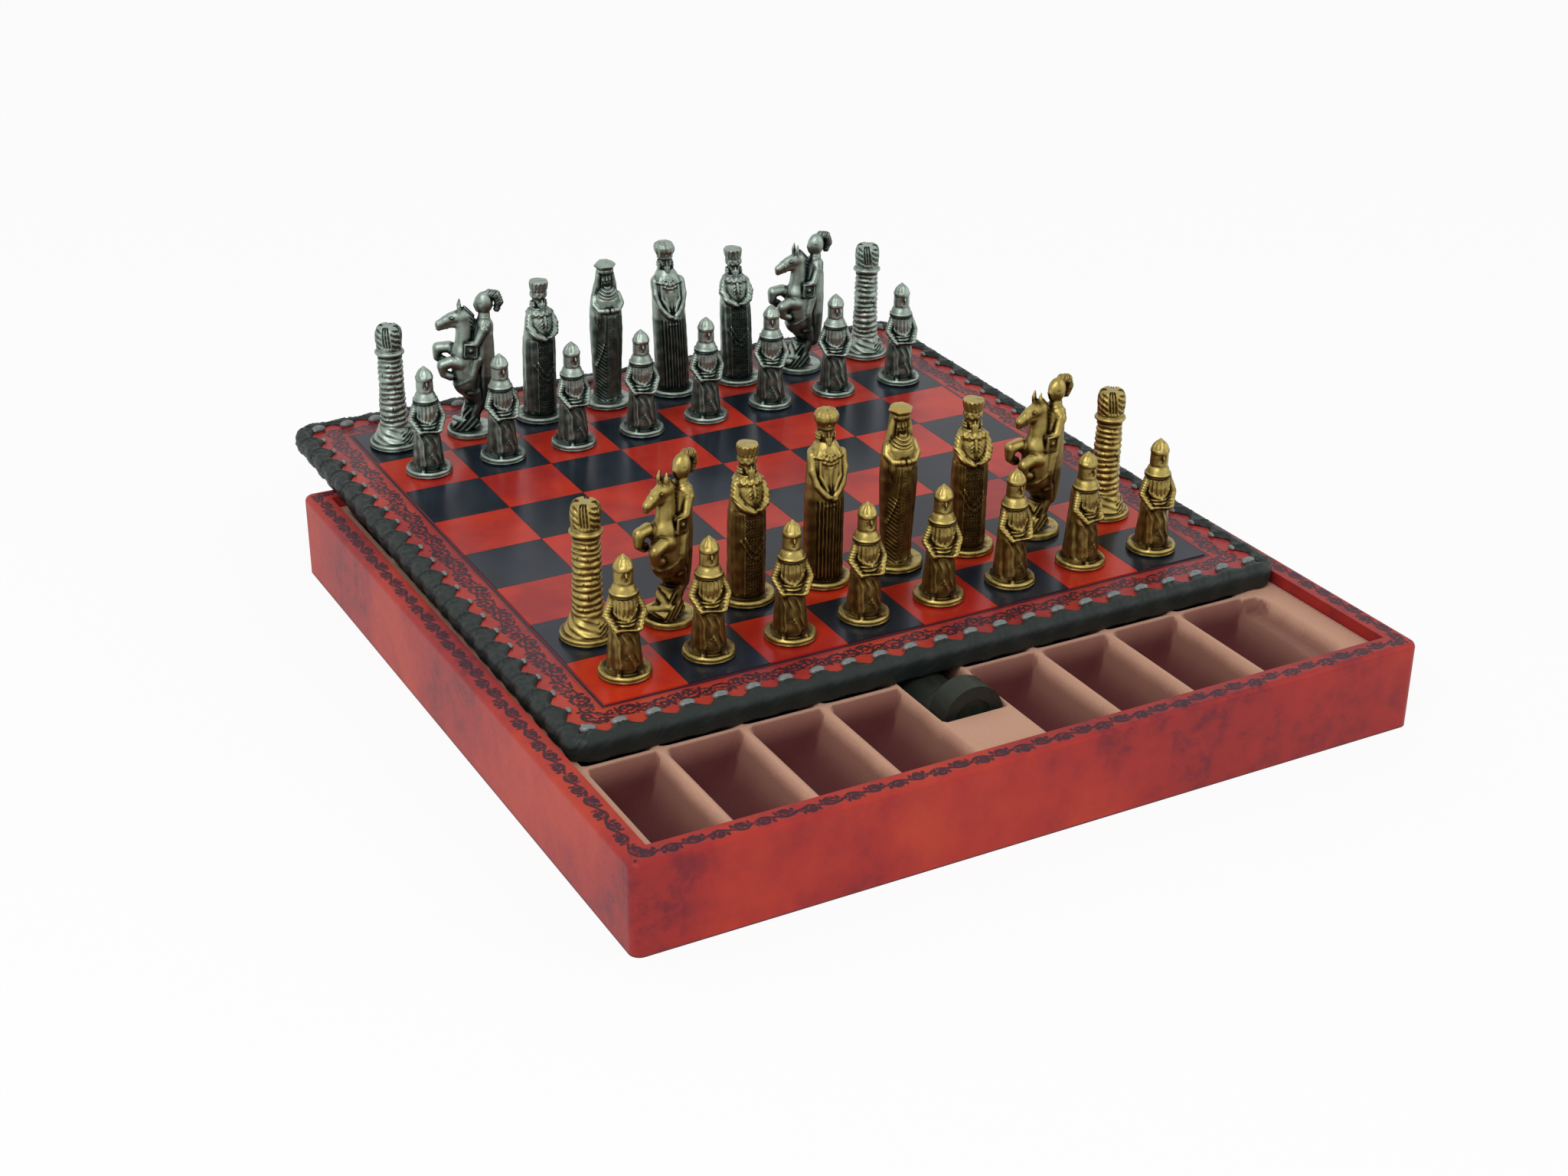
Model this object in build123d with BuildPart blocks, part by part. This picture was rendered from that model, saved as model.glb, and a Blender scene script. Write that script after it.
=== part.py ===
"""A square leather-covered storage case for a chess and draughts set.

The case is open and its board lies across it, slid back so that the front of the tray shows:
the board's front edge lies on the tray and its underside leans on the back rim, so it is
slightly tilted. The cast chessmen stand on the board in two armies, and the draughts
stand on their edges in the tray's middle well, the front one on a raised step.
Millimetres, +Z up, +Y towards the back. The origin is the centre of the case's underside.
"""
from build123d import *
import os
from math import atan2, cos, degrees, radians, sin

# Case
case_width = 280.0
case_depth = 280.0
case_height = 30.5
wall_thickness = 7.0
cover_thickness = 0.6
corner_radius = 3.5
top_edge_radius = 2.0
base_cover_thickness = 0.5
bottom_panel_thickness = 3.0

# Tray
tray_drop = 4.1
tray_sheet = 1.0
tray_clearance = 0.3
channel_pitch = 27.4
channel_width = 24.4
channel_depth = 15.5
channel_end_radius = 6.0
channels_per_side = 4
rib_width = 3.0
tray_front_margin = 3.4
pawn_channel_length = 46.4
well_width = 23.0
well_front_margin = 25.0
well_corner_radius = 3.0
well_centre_x = -7.6
well_gap_left = 1.5
well_gap_right = 1.4
shelf_drop = 5.0
shelf_margin = 9.0

# Draughts
draught_diameter = 21.5
draught_thickness = 8.6
draught_rim_width = 4.4
draught_face_recess = 0.7
draught_gap = 0.12
draughts_per_colour = 12
raised_draughts = 1
draught_step = 8.5

# Board
square = 28.2
squares_across = 8
board_margin = 17.5
board_front_inset = 61.2
board_side_gap = 0.4
rest_gap = 0.1
core_thickness = 5.0
lining_thickness = 0.6
top_sheet_thickness = 1.1
tile_thickness = 0.4
tile_gap = 0.12
binding_side = 1.6
binding_leaf_thickness = 0.8
binding_leaf_width = 6.0
lace_thickness = 0.7
lace_leaf_width = 7.0
lace_point_width = 3.4
lace_shoulder = 3.4
lace_gap = 0.35
lace_flats = 3
stitches_per_side = 22
board_corner_radius = 6.0
edge_round = 3.3

# Chessmen
figure_gap = 0.05
pawn_height = 40.9
rook_height = 47.0
knight_height = 56.5
bishop_height = 54.8
queen_height = 58.2
king_height = 61.5
pawn_base_radius = 8.5
rook_base_radius = 9.4
knight_base_radius = 9.2
robed_base_radius = 9.7
base_step = 2.3

# Where the men stand, from left to right along each rank: how far off the middle of the square
# to the right and to the back, and the turn in degrees, anticlockwise
gold_pawn_stands = [
    (-0.5, 0.5, 0),
    (0, 0, -10),
    (0, -1.5, -15),
    (-0.5, -0.5, 5),
    (0, 0, -15),
    (-0.5, -0.5, 5),
    (0.5, 0.5, 15),
    (0.5, -1.5, -10),
]
gold_officer_stands = [
    (-0.5, -0.5, 0),
    (-1, -1.5, 24),
    (0, 0.5, 0),
    (0.5, 0.5, -10),
    (0, 0, -10),
    (0, -0.5, -15),
    (0, 0, 10),
    (2, 1, 0),
]
silver_pawn_stands = [
    (0, -0.5, -5),
    (0.5, -1, 5),
    (0.5, -1.5, 5),
    (0.5, -1.5, -10),
    (0, -0.5, -5),
    (0.5, 0.5, -20),
    (0.5, 0, -20),
    (2, -0.5, -5),
]
silver_officer_stands = [
    (-2.5, 0, 0),
    (-1, -1.5, -20),
    (0, 0.5, 5),
    (0.5, 1.5, -10),
    (0.5, 1.5, -12),
    (0.5, 0.5, -12),
    (0.5, 0.5, 0),
    (4, 2, 0),
]

# Levels and inner sizes of the case
rim_width = wall_thickness + 2 * cover_thickness
panel_bottom = base_cover_thickness
panel_top = panel_bottom + bottom_panel_thickness
wall_top = case_height - cover_thickness
opening_width = case_width - 2 * rim_width
opening_depth = case_depth - 2 * rim_width
tray_top = case_height - tray_drop


def export(piece, name):
    """Labels a finished piece and writes it as its own file."""
    piece.part.label = name
    export_step(piece.part, f"parts/{name}.step")


os.makedirs("parts", exist_ok=True)

# Wooden carcass: one rounded ring, later parted into four walls
with BuildPart() as wall_ring:
    with BuildSketch(Plane.XY.offset(panel_top)):
        RectangleRounded(
            case_width - 2 * cover_thickness,
            case_depth - 2 * cover_thickness,
            corner_radius - cover_thickness,
        )
    extrude(amount=wall_top - panel_top)
    fillet(wall_ring.faces().sort_by(Axis.Z)[-1].edges(), top_edge_radius - cover_thickness)
    with BuildSketch(Plane.XY.offset(panel_top)):
        Rectangle(opening_width + 2 * cover_thickness, opening_depth + 2 * cover_thickness)
    extrude(amount=wall_top - panel_top, mode=Mode.SUBTRACT)

side_wall_reach = opening_depth / 2 + cover_thickness

with BuildPart() as front_wall:
    add(wall_ring.part)
    split(bisect_by=Plane.XZ.offset(side_wall_reach), keep=Keep.TOP)
export(front_wall, "front_wall")

with BuildPart() as back_wall:
    add(wall_ring.part)
    split(bisect_by=Plane.XZ.offset(-side_wall_reach), keep=Keep.BOTTOM)
export(back_wall, "back_wall")

with BuildPart() as left_wall:
    add(wall_ring.part)
    split(bisect_by=Plane.XZ.offset(side_wall_reach), keep=Keep.BOTTOM)
    split(bisect_by=Plane.XZ.offset(-side_wall_reach), keep=Keep.TOP)
    split(bisect_by=Plane.YZ, keep=Keep.BOTTOM)
export(left_wall, "left_wall")

with BuildPart() as right_wall:
    add(wall_ring.part)
    split(bisect_by=Plane.XZ.offset(side_wall_reach), keep=Keep.BOTTOM)
    split(bisect_by=Plane.XZ.offset(-side_wall_reach), keep=Keep.TOP)
    split(bisect_by=Plane.YZ, keep=Keep.TOP)
export(right_wall, "right_wall")

with BuildPart() as bottom_panel:
    with BuildSketch(Plane.XY.offset(panel_bottom)):
        RectangleRounded(
            case_width - 2 * cover_thickness,
            case_depth - 2 * cover_thickness,
            corner_radius - cover_thickness,
        )
    extrude(amount=bottom_panel_thickness)
export(bottom_panel, "bottom_panel")

with BuildPart() as base_cover:
    with BuildSketch():
        RectangleRounded(case_width, case_depth, corner_radius)
    extrude(amount=base_cover_thickness)
export(base_cover, "base_cover")

# Leather cover: over the outside, across the rim and down the inside of the walls
with BuildPart() as case_cover:
    with BuildSketch(Plane.XY.offset(panel_bottom)):
        RectangleRounded(case_width, case_depth, corner_radius)
    extrude(amount=case_height - panel_bottom)
    fillet(case_cover.faces().sort_by(Axis.Z)[-1].edges(), top_edge_radius)
    with BuildSketch(Plane.XY.offset(panel_bottom)):
        Rectangle(opening_width, opening_depth)
    extrude(amount=case_height - panel_bottom, mode=Mode.SUBTRACT)
    add(wall_ring.part, mode=Mode.SUBTRACT)
    add(bottom_panel.part, mode=Mode.SUBTRACT)
export(case_cover, "case_cover")

# Flocked tray: a formed sheet with round-bottomed channels and one deep well
tray_width = opening_width - 2 * tray_clearance
tray_depth = opening_depth - 2 * tray_clearance
well_length = tray_depth - 2 * well_front_margin
row_front = -tray_depth / 2 + tray_front_margin
middle_length = tray_depth - 2 * tray_front_margin - 2 * pawn_channel_length - 2 * rib_width
long_channel_start = row_front + pawn_channel_length + rib_width
channel_rows = (
    (row_front, pawn_channel_length),
    (long_channel_start, middle_length),
    (long_channel_start + middle_length + rib_width, pawn_channel_length),
)
block_span = (channels_per_side - 1) * channel_pitch
left_last = well_centre_x - well_width / 2 - well_gap_left - channel_width / 2
right_first = well_centre_x + well_width / 2 + well_gap_right + channel_width / 2
channel_centres = [left_last - block_span + n * channel_pitch for n in range(channels_per_side)]
channel_centres += [right_first + n * channel_pitch for n in range(channels_per_side)]
shelf_start = right_first + block_span
shelf_end = tray_width / 2 - shelf_margin


def trough(length, wall):
    """A round-bottomed trough that starts at y = 0, grown outwards by a wall thickness."""
    half = channel_width / 2 + wall
    floor = -channel_depth - wall
    with BuildPart() as form:
        with BuildSketch(Plane.XZ.offset(wall)):
            with BuildLine():
                Polyline((-half, floor + half), (-half, 0), (half, 0), (half, floor + half))
                ThreePointArc((half, floor + half), (0, floor), (-half, floor + half))
            make_face()
        extrude(amount=-(length + 2 * wall))
        ends = form.faces().filter_by(Axis.Y).edges()
        fillet(ends.filter_by_position(Axis.Z, floor - 1, -wall - 0.1), channel_end_radius + wall)
    return form.part


def at_tray_top(x, y):
    """A place on the tray's upper surface."""
    return Location((x, y, tray_top))


well_depth = tray_top - panel_top - tray_sheet
draught_pitch = draught_thickness + draught_gap
draught_row = 2 * draughts_per_colour * draught_pitch
draught_front = -draught_row / 2 + draught_gap / 2
draught_z = tray_top - well_depth + rest_gap + draught_diameter / 2
step_end = draught_front + raised_draughts * draught_pitch - draught_gap / 2
step_length = step_end + well_length / 2
step_hollow = step_length - well_corner_radius - tray_sheet

with BuildPart() as tray:
    with BuildSketch(Plane.XY.offset(tray_top)):
        Rectangle(tray_width, tray_depth)
    extrude(amount=-tray_sheet)
    with BuildSketch(Plane.XY.offset(panel_top)):
        Rectangle(tray_width, tray_depth)
        Rectangle(tray_width - 2 * tray_sheet, tray_depth - 2 * tray_sheet, mode=Mode.SUBTRACT)
    extrude(amount=tray_top - panel_top)
    with BuildSketch(Plane.XY.offset(panel_top)):
        with Locations((well_centre_x, 0)):
            RectangleRounded(
                well_width + 2 * tray_sheet,
                well_length + 2 * tray_sheet,
                well_corner_radius + tray_sheet,
            )
    extrude(amount=tray_top - panel_top)
    shelf_width = shelf_end - shelf_start
    for row_start, row_length in channel_rows:
        outer = trough(row_length, tray_sheet)
        with Locations([at_tray_top(x, row_start) for x in channel_centres]):
            add(outer)
        with Locations((shelf_start + shelf_width / 2, row_start + row_length / 2, tray_top)):
            Box(
                shelf_width + 2 * tray_sheet,
                row_length + 2 * tray_sheet,
                shelf_drop + tray_sheet,
                align=(Align.CENTER, Align.CENTER, Align.MAX),
            )
    for row_start, row_length in channel_rows:
        inner = trough(row_length, 0)
        with Locations([at_tray_top(x, row_start) for x in channel_centres]):
            add(inner, mode=Mode.SUBTRACT)
        with Locations((shelf_start + shelf_width / 2, row_start + row_length / 2, tray_top)):
            Box(
                shelf_width,
                row_length,
                shelf_drop,
                align=(Align.CENTER, Align.CENTER, Align.MAX),
                mode=Mode.SUBTRACT,
            )
    with BuildSketch(Plane.XY.offset(tray_top)):
        with Locations((well_centre_x, 0)):
            RectangleRounded(well_width, well_length, well_corner_radius)
    extrude(amount=draught_step - well_depth, mode=Mode.SUBTRACT)
    with BuildSketch(Plane.XY.offset(tray_top)):
        with Locations((well_centre_x, 0)):
            RectangleRounded(well_width, well_length, well_corner_radius)
        with Locations((well_centre_x, -well_length / 2)):
            Rectangle(well_width, 2 * step_length, mode=Mode.SUBTRACT)
    extrude(amount=-well_depth, mode=Mode.SUBTRACT)
    with BuildSketch(Plane.XY.offset(panel_top)):
        with Locations((well_centre_x, step_end - tray_sheet - step_hollow / 2)):
            Rectangle(well_width, step_hollow)
    extrude(amount=draught_step, mode=Mode.SUBTRACT)
export(tray, "tray_insert")

# Draughts: rimmed discs on their edges in the well, dark ones in front
with BuildPart() as draught_form:
    with BuildSketch(Plane.XZ):
        Circle(draught_diameter / 2)
    extrude(amount=draught_thickness)
    hollow_radius = draught_diameter / 2 - draught_rim_width
    for face_y, inwards in ((0, 1), (-draught_thickness, -1)):
        with BuildSketch(Plane.XZ.offset(-face_y)):
            Circle(hollow_radius)
        extrude(amount=inwards * draught_face_recess, mode=Mode.SUBTRACT)


def draught_place(number):
    """Where a draught stands, counted from the front: the first ones are on the step."""
    back_face = draught_front + number * draught_pitch + draught_thickness
    raised = draught_step if number < raised_draughts else 0
    return Location((well_centre_x, back_face, draught_z + raised))


draught_groups = {
    "front_draught": [0],
    "second_draught": [1],
    "dark_draughts": list(range(2, draughts_per_colour)),
    "light_draughts": list(range(draughts_per_colour, 2 * draughts_per_colour)),
}
for group_name, numbers in draught_groups.items():
    with BuildPart() as draughts:
        with Locations([draught_place(number) for number in numbers]):
            add(draught_form.part)
    export(draughts, group_name)

# Board: every layer is built on the tilted plane of its underside
field = squares_across * square
board_size = field + 2 * board_margin
board_front = -case_depth / 2 + board_front_inset
back_rim_edge = opening_depth / 2
tilt = atan2(case_height - tray_top, back_rim_edge - board_front)
board_centre_x = opening_width / 2 - board_side_gap - board_size / 2
board_plane = Plane(
    origin=(
        board_centre_x,
        board_front + board_size / 2 * cos(tilt),
        tray_top + rest_gap + board_size / 2 * sin(tilt),
    ),
    x_dir=(1, 0, 0),
    z_dir=(0, -sin(tilt), cos(tilt)),
)
lining_bottom = lace_thickness
core_bottom = lining_bottom + lining_thickness
core_top = core_bottom + core_thickness
sheet_top = core_top + top_sheet_thickness
tile_top = sheet_top + tile_thickness
binding_top = sheet_top + binding_leaf_thickness
lace_top = binding_top + lace_thickness
core_inset = lace_thickness + binding_side
core_size = board_size - 2 * core_inset
core_radius = board_corner_radius - core_inset


def layer(size, radius, bottom, top):
    """A rounded square layer of the board, between two heights above its underside."""
    with BuildPart() as form:
        with BuildSketch(board_plane.offset(bottom)):
            RectangleRounded(size, size, radius)
        extrude(amount=top - bottom)
    return form.part


lining_size = board_size - 2 * (lace_thickness + binding_leaf_width)
with BuildPart() as board_core:
    add(layer(core_size, core_radius, core_bottom, core_top))
export(board_core, "board_core")

with BuildPart() as board_lining:
    add(layer(lining_size, core_radius, lining_bottom, core_bottom))
export(board_lining, "board_lining")

with BuildPart() as board_leather:
    add(layer(core_size, core_radius, core_top, sheet_top))
export(board_leather, "board_leather")

for colour, parity in (("red", 0), ("black", 1)):
    with BuildPart() as tiles:
        with BuildSketch(board_plane.offset(sheet_top)):
            for column in range(squares_across):
                for row in range(squares_across):
                    if (column + row) % 2 == parity:
                        tile_x = (column + 0.5) * square - field / 2
                        tile_y = (row + 0.5) * square - field / 2
                        with Locations((tile_x, tile_y)):
                            Rectangle(square - tile_gap, square - tile_gap)
        extrude(amount=tile_thickness)
    export(tiles, f"{colour}_squares")

# Black edge binding, a folded strip round the board, rounded on its outside
binding_size = board_size - 2 * lace_thickness
binding_radius = board_corner_radius - lace_thickness
binding_round = edge_round - lace_thickness
with BuildPart() as edge_binding:
    add(layer(binding_size, binding_radius, lining_bottom, binding_top))
    broad_faces = edge_binding.faces().sort_by(SortBy.AREA)[-2:]
    fillet([edge for face in broad_faces for edge in face.edges()], binding_round)
    add(layer(core_size, core_radius, core_bottom, sheet_top), mode=Mode.SUBTRACT)
    add(layer(lining_size, core_radius, lining_bottom, binding_top), mode=Mode.SUBTRACT)
export(edge_binding, "edge_binding")

# Lacing: flat leather stitches folded over the edge, pointed where they enter the board
lace_run = board_size - 2 * board_corner_radius
lace_pitch = lace_run / stitches_per_side
half_board = board_size / 2


def folded(tip, outside, low, high, radius):
    """Points of a strip folded round the edge, from its lower to its upper tip, in short flats."""
    half_flat = 45 / lace_flats
    reach = radius / cos(radians(half_flat))
    lower = [-90 + half_flat * (2 * flat + 1) for flat in range(lace_flats)]
    upper = [half_flat * (2 * flat + 1) for flat in range(lace_flats)]
    points = [(tip, low)]
    for level, turns in ((low + radius, lower), (high - radius, upper)):
        for turn in turns:
            across = outside - radius + reach * cos(radians(turn))
            points.append((across, level + reach * sin(radians(turn))))
    return points + [(tip, high)]


def stitch_section(leaf, outside, start):
    """The folded section of one stitch on an upright plane: its outer face is at x = outside."""
    tip = outside - leaf
    outer = folded(tip, outside, 0, lace_top, edge_round)
    inner = folded(
        tip,
        outside - lace_thickness,
        lace_thickness,
        lace_top - lace_thickness,
        edge_round - lace_thickness,
    )
    with BuildSketch(start) as section:
        with BuildLine():
            Polyline(*outer, *reversed(inner), close=True)
        make_face()
    return section.sketch


stitch_width = lace_pitch - lace_gap
with BuildPart() as straight_stitch:
    extrude(stitch_section(lace_leaf_width, 0, Plane.XZ.offset(-stitch_width / 2)), amount=stitch_width)
    with BuildSketch():
        with BuildLine():
            Polyline(
                (0, -lace_pitch / 2),
                (-lace_shoulder, -lace_pitch / 2),
                (-lace_leaf_width, -lace_point_width / 2),
                (-lace_leaf_width, lace_point_width / 2),
                (-lace_shoulder, lace_pitch / 2),
                (0, lace_pitch / 2),
                close=True,
            )
        make_face()
    extrude(amount=lace_top, mode=Mode.INTERSECT)

corner_turn = 90 - degrees(lace_gap / board_corner_radius)
corner_leaf = board_corner_radius - lace_gap
with BuildPart() as corner_stitch:
    revolve(
        stitch_section(corner_leaf, board_corner_radius, Plane.XZ),
        axis=Axis.Z,
        revolution_arc=corner_turn,
    )

stitch_places = []
corner_places = []
for side in range(4):
    side_place = board_plane.location * Location((0, 0, 0), (0, 0, 90 * side))
    for number in range(stitches_per_side):
        along = (number + 0.5) * lace_pitch - lace_run / 2
        stitch_places.append(side_place * Location((half_board, along, 0)))
    corner = Location((lace_run / 2, lace_run / 2, 0), (0, 0, (90 - corner_turn) / 2))
    corner_places.append(side_place * corner)

with BuildPart() as edge_lacing:
    with Locations(stitch_places):
        add(straight_stitch.part)
    with Locations(corner_places):
        add(corner_stitch.part)
export(edge_lacing, "edge_lacing")


# Chessmen. Each form stands on z = 0 with its face towards -Y.
def turned(outline):
    """A solid turned about the upright axis, from (radius, height) points of its outline."""
    with BuildPart() as form:
        with BuildSketch(Plane.XZ):
            with BuildLine():
                Polyline((0, outline[0][1]), *outline, (0, outline[-1][1]), close=True)
            make_face()
        revolve(axis=Axis.Z)
    return form.part


def limb(points, radii):
    """A tapered limb through the points, with a ball at each joint and end."""
    joints = list(zip(points, radii))
    with BuildPart() as form:
        for point, radius in joints:
            with Locations(point):
                Sphere(radius)
        for (start, start_radius), (end, end_radius) in zip(joints, joints[1:]):
            reach = Vector(*end) - Vector(*start)
            with Locations(Plane(origin=start, z_dir=reach)):
                Cone(
                    start_radius * 0.97,
                    end_radius * 0.96,
                    reach.length,
                    align=(Align.CENTER, Align.CENTER, Align.MIN),
                )
    return form.part


def mirrored_limb(points, radii, across=Axis.X):
    """A limb and its mirror image on the other side of the figure, across the X or the Y axis."""
    flip = across.direction
    others = [(x * (1 - 2 * flip.X), y * (1 - 2 * flip.Y), z) for x, y, z in points]
    return [limb(points, radii), limb(others, radii)]


def foot_outline(radius):
    """The two-step round foot that every chessman stands on."""
    return [
        (radius - 0.4, 0),
        (radius, 0.5),
        (radius, 1.5),
        (radius - 0.6, base_step),
        (radius - 1.3, base_step + 0.1),
    ]


def pawn_form():
    """A cloaked foot soldier with a pointed helmet, elbows out and hands on a belt bar."""
    robe = [(7.1, 3.1), (5.9, 3.4), (5.6, 9), (5.1, 16), (4.7, 18), (4.8, 22), (4.6, 26.4)]
    head = [(5.0, 27.2), (4.6, 27.8), (3.0, 31.2), (2.7, 31.6), (2.6, 35.6)]
    helmet = [(2.95, 36), (2.7, 38.2), (1.5, 40.1), (0.6, pawn_height)]
    arms = mirrored_limb([(4.3, 0, 26), (6.3, -0.8, 20.6), (3.2, -4.7, 16.8)], [1.3, 1.2, 1.0])
    with BuildPart() as form:
        add(turned(foot_outline(pawn_base_radius) + robe + head + helmet))
        add(arms)
        add(limb([(-3.2, -4.9, 16.9), (3.2, -4.9, 16.9)], [0.7, 0.7]))
        add(mirrored_limb([(2.5, -5.6, 3.6), (2.5, -6.4, 3.5)], [1.1, 1.0]))
        with Locations((0, 2.2, 3)):
            Cone(5.6, 3.6, 24, align=(Align.CENTER, Align.CENTER, Align.MIN))
    return form.part


def rook_form():
    """A tapered tower of stacked bands with a flared foot and a battlemented drum."""
    bands = 13
    band_bottom = 8.0
    band_top = 35.0
    band_pitch = (band_top - band_bottom) / bands
    flare = [(8.1, 3.2), (8.3, 4.0), (7.5, 4.9), (7.7, 5.6), (6.3, 6.4), (6.4, 7.1), (5.2, 7.8)]
    shaft = []
    for band in range(bands):
        height = band_bottom + band * band_pitch
        radius = 5.1 - 0.7 * band / bands
        shaft += [
            (radius, height + 0.3),
            (radius, height + 0.7 * band_pitch),
            (radius - 0.5, height + 0.85 * band_pitch),
        ]
    collar = [(4.3, 35.4), (5.5, 36.4), (5.5, 37.3), (4.4, 37.9)]
    drum = collar + [(4.5, 39), (4.9, 42), (4.7, 45.4), (3.9, rook_height)]
    with BuildPart() as form:
        add(turned(foot_outline(rook_base_radius) + flare + shaft + drum))
        with BuildSketch(Plane.XY.offset(rook_height)):
            Circle(3.0)
        extrude(amount=-2.2, mode=Mode.SUBTRACT)
        with PolarLocations(4.2, 8):
            with Locations((0, 0, rook_height)):
                Box(3.4, 1.0, 3.6, mode=Mode.SUBTRACT)
    return form.part


def robed_outline(shoulder_radius, shoulder_height, neck_height):
    """The gown of a tall robed figure, from its foot up to the neck."""
    return [
        (8.4, 3.2),
        (6.8, 3.4),
        (6.4, 5),
        (shoulder_radius + 0.2, shoulder_height * 0.5),
        (shoulder_radius, shoulder_height - 6),
        (shoulder_radius - 0.3, shoulder_height - 2),
        (shoulder_radius - 1.4, shoulder_height),
        (2.9, neck_height),
    ]


def bishop_form():
    """A bearded robed figure with a flat-topped round crown and joined hands."""
    hat = [(2.6, 45), (2.8, 48.6), (3.3, 49.2), (3.3, 50.8), (3.0, 51.3), (3.6, 54.3), (3.2, bishop_height)]
    arms = mirrored_limb([(4.8, -0.6, 41.3), (5.6, -2.4, 37), (1.1, -6.3, 34.6)], [1.6, 1.6, 1.3])
    with BuildPart() as form:
        add(turned(foot_outline(robed_base_radius) + robed_outline(6.1, 43, 44.4) + hat))
        add(arms)
        add(limb([(0, -2.4, 46.3), (0, -3.4, 43.6)], [1.5, 1.0]))
        with Locations((0, -5.6, 18)):
            Box(4.6, 2.2, 29)
    return form.part


def queen_form():
    """A veiled figure with a low six-sided crown, clasped hands and a long gown."""
    head = [(3.0, 47), (2.7, 48), (2.7, 53), (3.0, 53.6)]
    arms = mirrored_limb([(4.9, -0.6, 44.5), (5.3, -3.0, 41), (1.0, -5.9, 40.4)], [1.5, 1.5, 1.3])
    with BuildPart() as form:
        add(turned(foot_outline(robed_base_radius) + robed_outline(5.9, 46, 46.8) + head))
        add(arms)
        with BuildSketch(Plane.XY.offset(53.4)):
            RegularPolygon(3.0, 6)
        with BuildSketch(Plane.XY.offset(55.6)):
            RegularPolygon(4.3, 6)
        loft()
        with BuildSketch(Plane.XY.offset(55.6)):
            RegularPolygon(4.3, 6)
        with BuildSketch(Plane.XY.offset(queen_height)):
            RegularPolygon(1.6, 6)
        loft()
        with Locations((0, 1.9, 43.4)):
            Cone(4.9, 2.4, 10.2, align=(Align.CENTER, Align.CENTER, Align.MIN))
    return form.part


def king_form():
    """The tallest figure: a domed hat over a round collar, hands joined low in a V."""
    head = [(2.7, 50.6), (2.8, 53.4), (3.2, 53.9), (3.1, 55.6)]
    hat = head + [(4.2, 56.2), (4.5, 57.6), (3.9, 59.7), (2.0, king_height)]
    arms = mirrored_limb([(5.3, -1.6, 45.6), (5.0, -4.6, 38.6), (0.9, -6.9, 33.4)], [1.8, 1.6, 1.2])
    with BuildPart() as form:
        add(turned(foot_outline(robed_base_radius) + robed_outline(6.7, 48.6, 50) + hat))
        add(arms)
        with Locations(Location((0, -4.6, 45), (90, 0, 0))):
            Cylinder(2.4, 3.0)
        with Locations((0, 0, 46.4)):
            Cone(6.6, 5.4, 1.4, align=(Align.CENTER, Align.CENTER, Align.MIN))
    return form.part


def knight_form():
    """A rearing horse on a rocky mound, its forelegs bent, with a caped and plumed rider; it faces -X."""
    mound = [(7.7, 3.2), (7.0, 5.2), (5.4, 7.4), (3.6, 9.8), (2.4, 12.4)]
    trunk = [(2.0, 0, 14.5), (-0.6, 0, 22), (-0.8, 0, 30), (-1.0, 0, 39), (-0.6, 0, 45.6)]
    head = [(-1.6, 0, 46.4), (-5.6, 0, 44.8), (-10.2, 0, 42.8)]
    foreleg = [(-2.6, 2.4, 30.6), (-12.4, 2.6, 32.6), (-12.2, 2.4, 25.4), (-9.2, 2.2, 21.8)]
    hind_leg = [(2.2, 2.8, 16.4), (3.2, 3.0, 11.4), (1.2, 3.2, 6.6)]
    rider = [(4.6, 0, 32), (5.9, 0, 38), (6.6, 0, 43.4)]
    helmet = [(6.8, 0, 47), (6.9, 0, 50), (7.2, 0, 53.2)]
    plume = [(8.6, 0, knight_height - 1.8), (11.6, 0, 53.6), (12.2, 0, 48.8)]
    with BuildPart() as form:
        add(turned(foot_outline(knight_base_radius) + mound))
        add(limb(trunk, [3.6, 5.4, 4.4, 3.3, 2.9]))
        add(limb(head, [2.6, 2.3, 1.6]))
        add(mirrored_limb(foreleg, [1.7, 1.8, 1.5, 1.2], Axis.Y))
        add(mirrored_limb(hind_leg, [2.2, 1.4, 1.3], Axis.Y))
        add(mirrored_limb([(-1.8, 1.3, 47.6), (-2.2, 1.6, 52.2)], [1.1, 0.5], Axis.Y))
        add(limb(rider, [4.2, 3.9, 3.3]))
        add(limb([(6.6, 0, 43.4), (6.8, 0, 47)], [3.3, 2.2]))
        add(limb(helmet, [2.6, 3.1, 2.6]))
        add(limb(plume, [1.8, 1.9, 1.5]))
        add(limb([(6.4, 0, 41), (5.6, 0, 28), (4.6, 0, 15)], [3.5, 3.6, 3.4]))
    return form.part


forms = {
    "pawn": pawn_form(),
    "rook": rook_form(),
    "knight": knight_form(),
    "bishop": bishop_form(),
    "queen": queen_form(),
    "king": king_form(),
}

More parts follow.
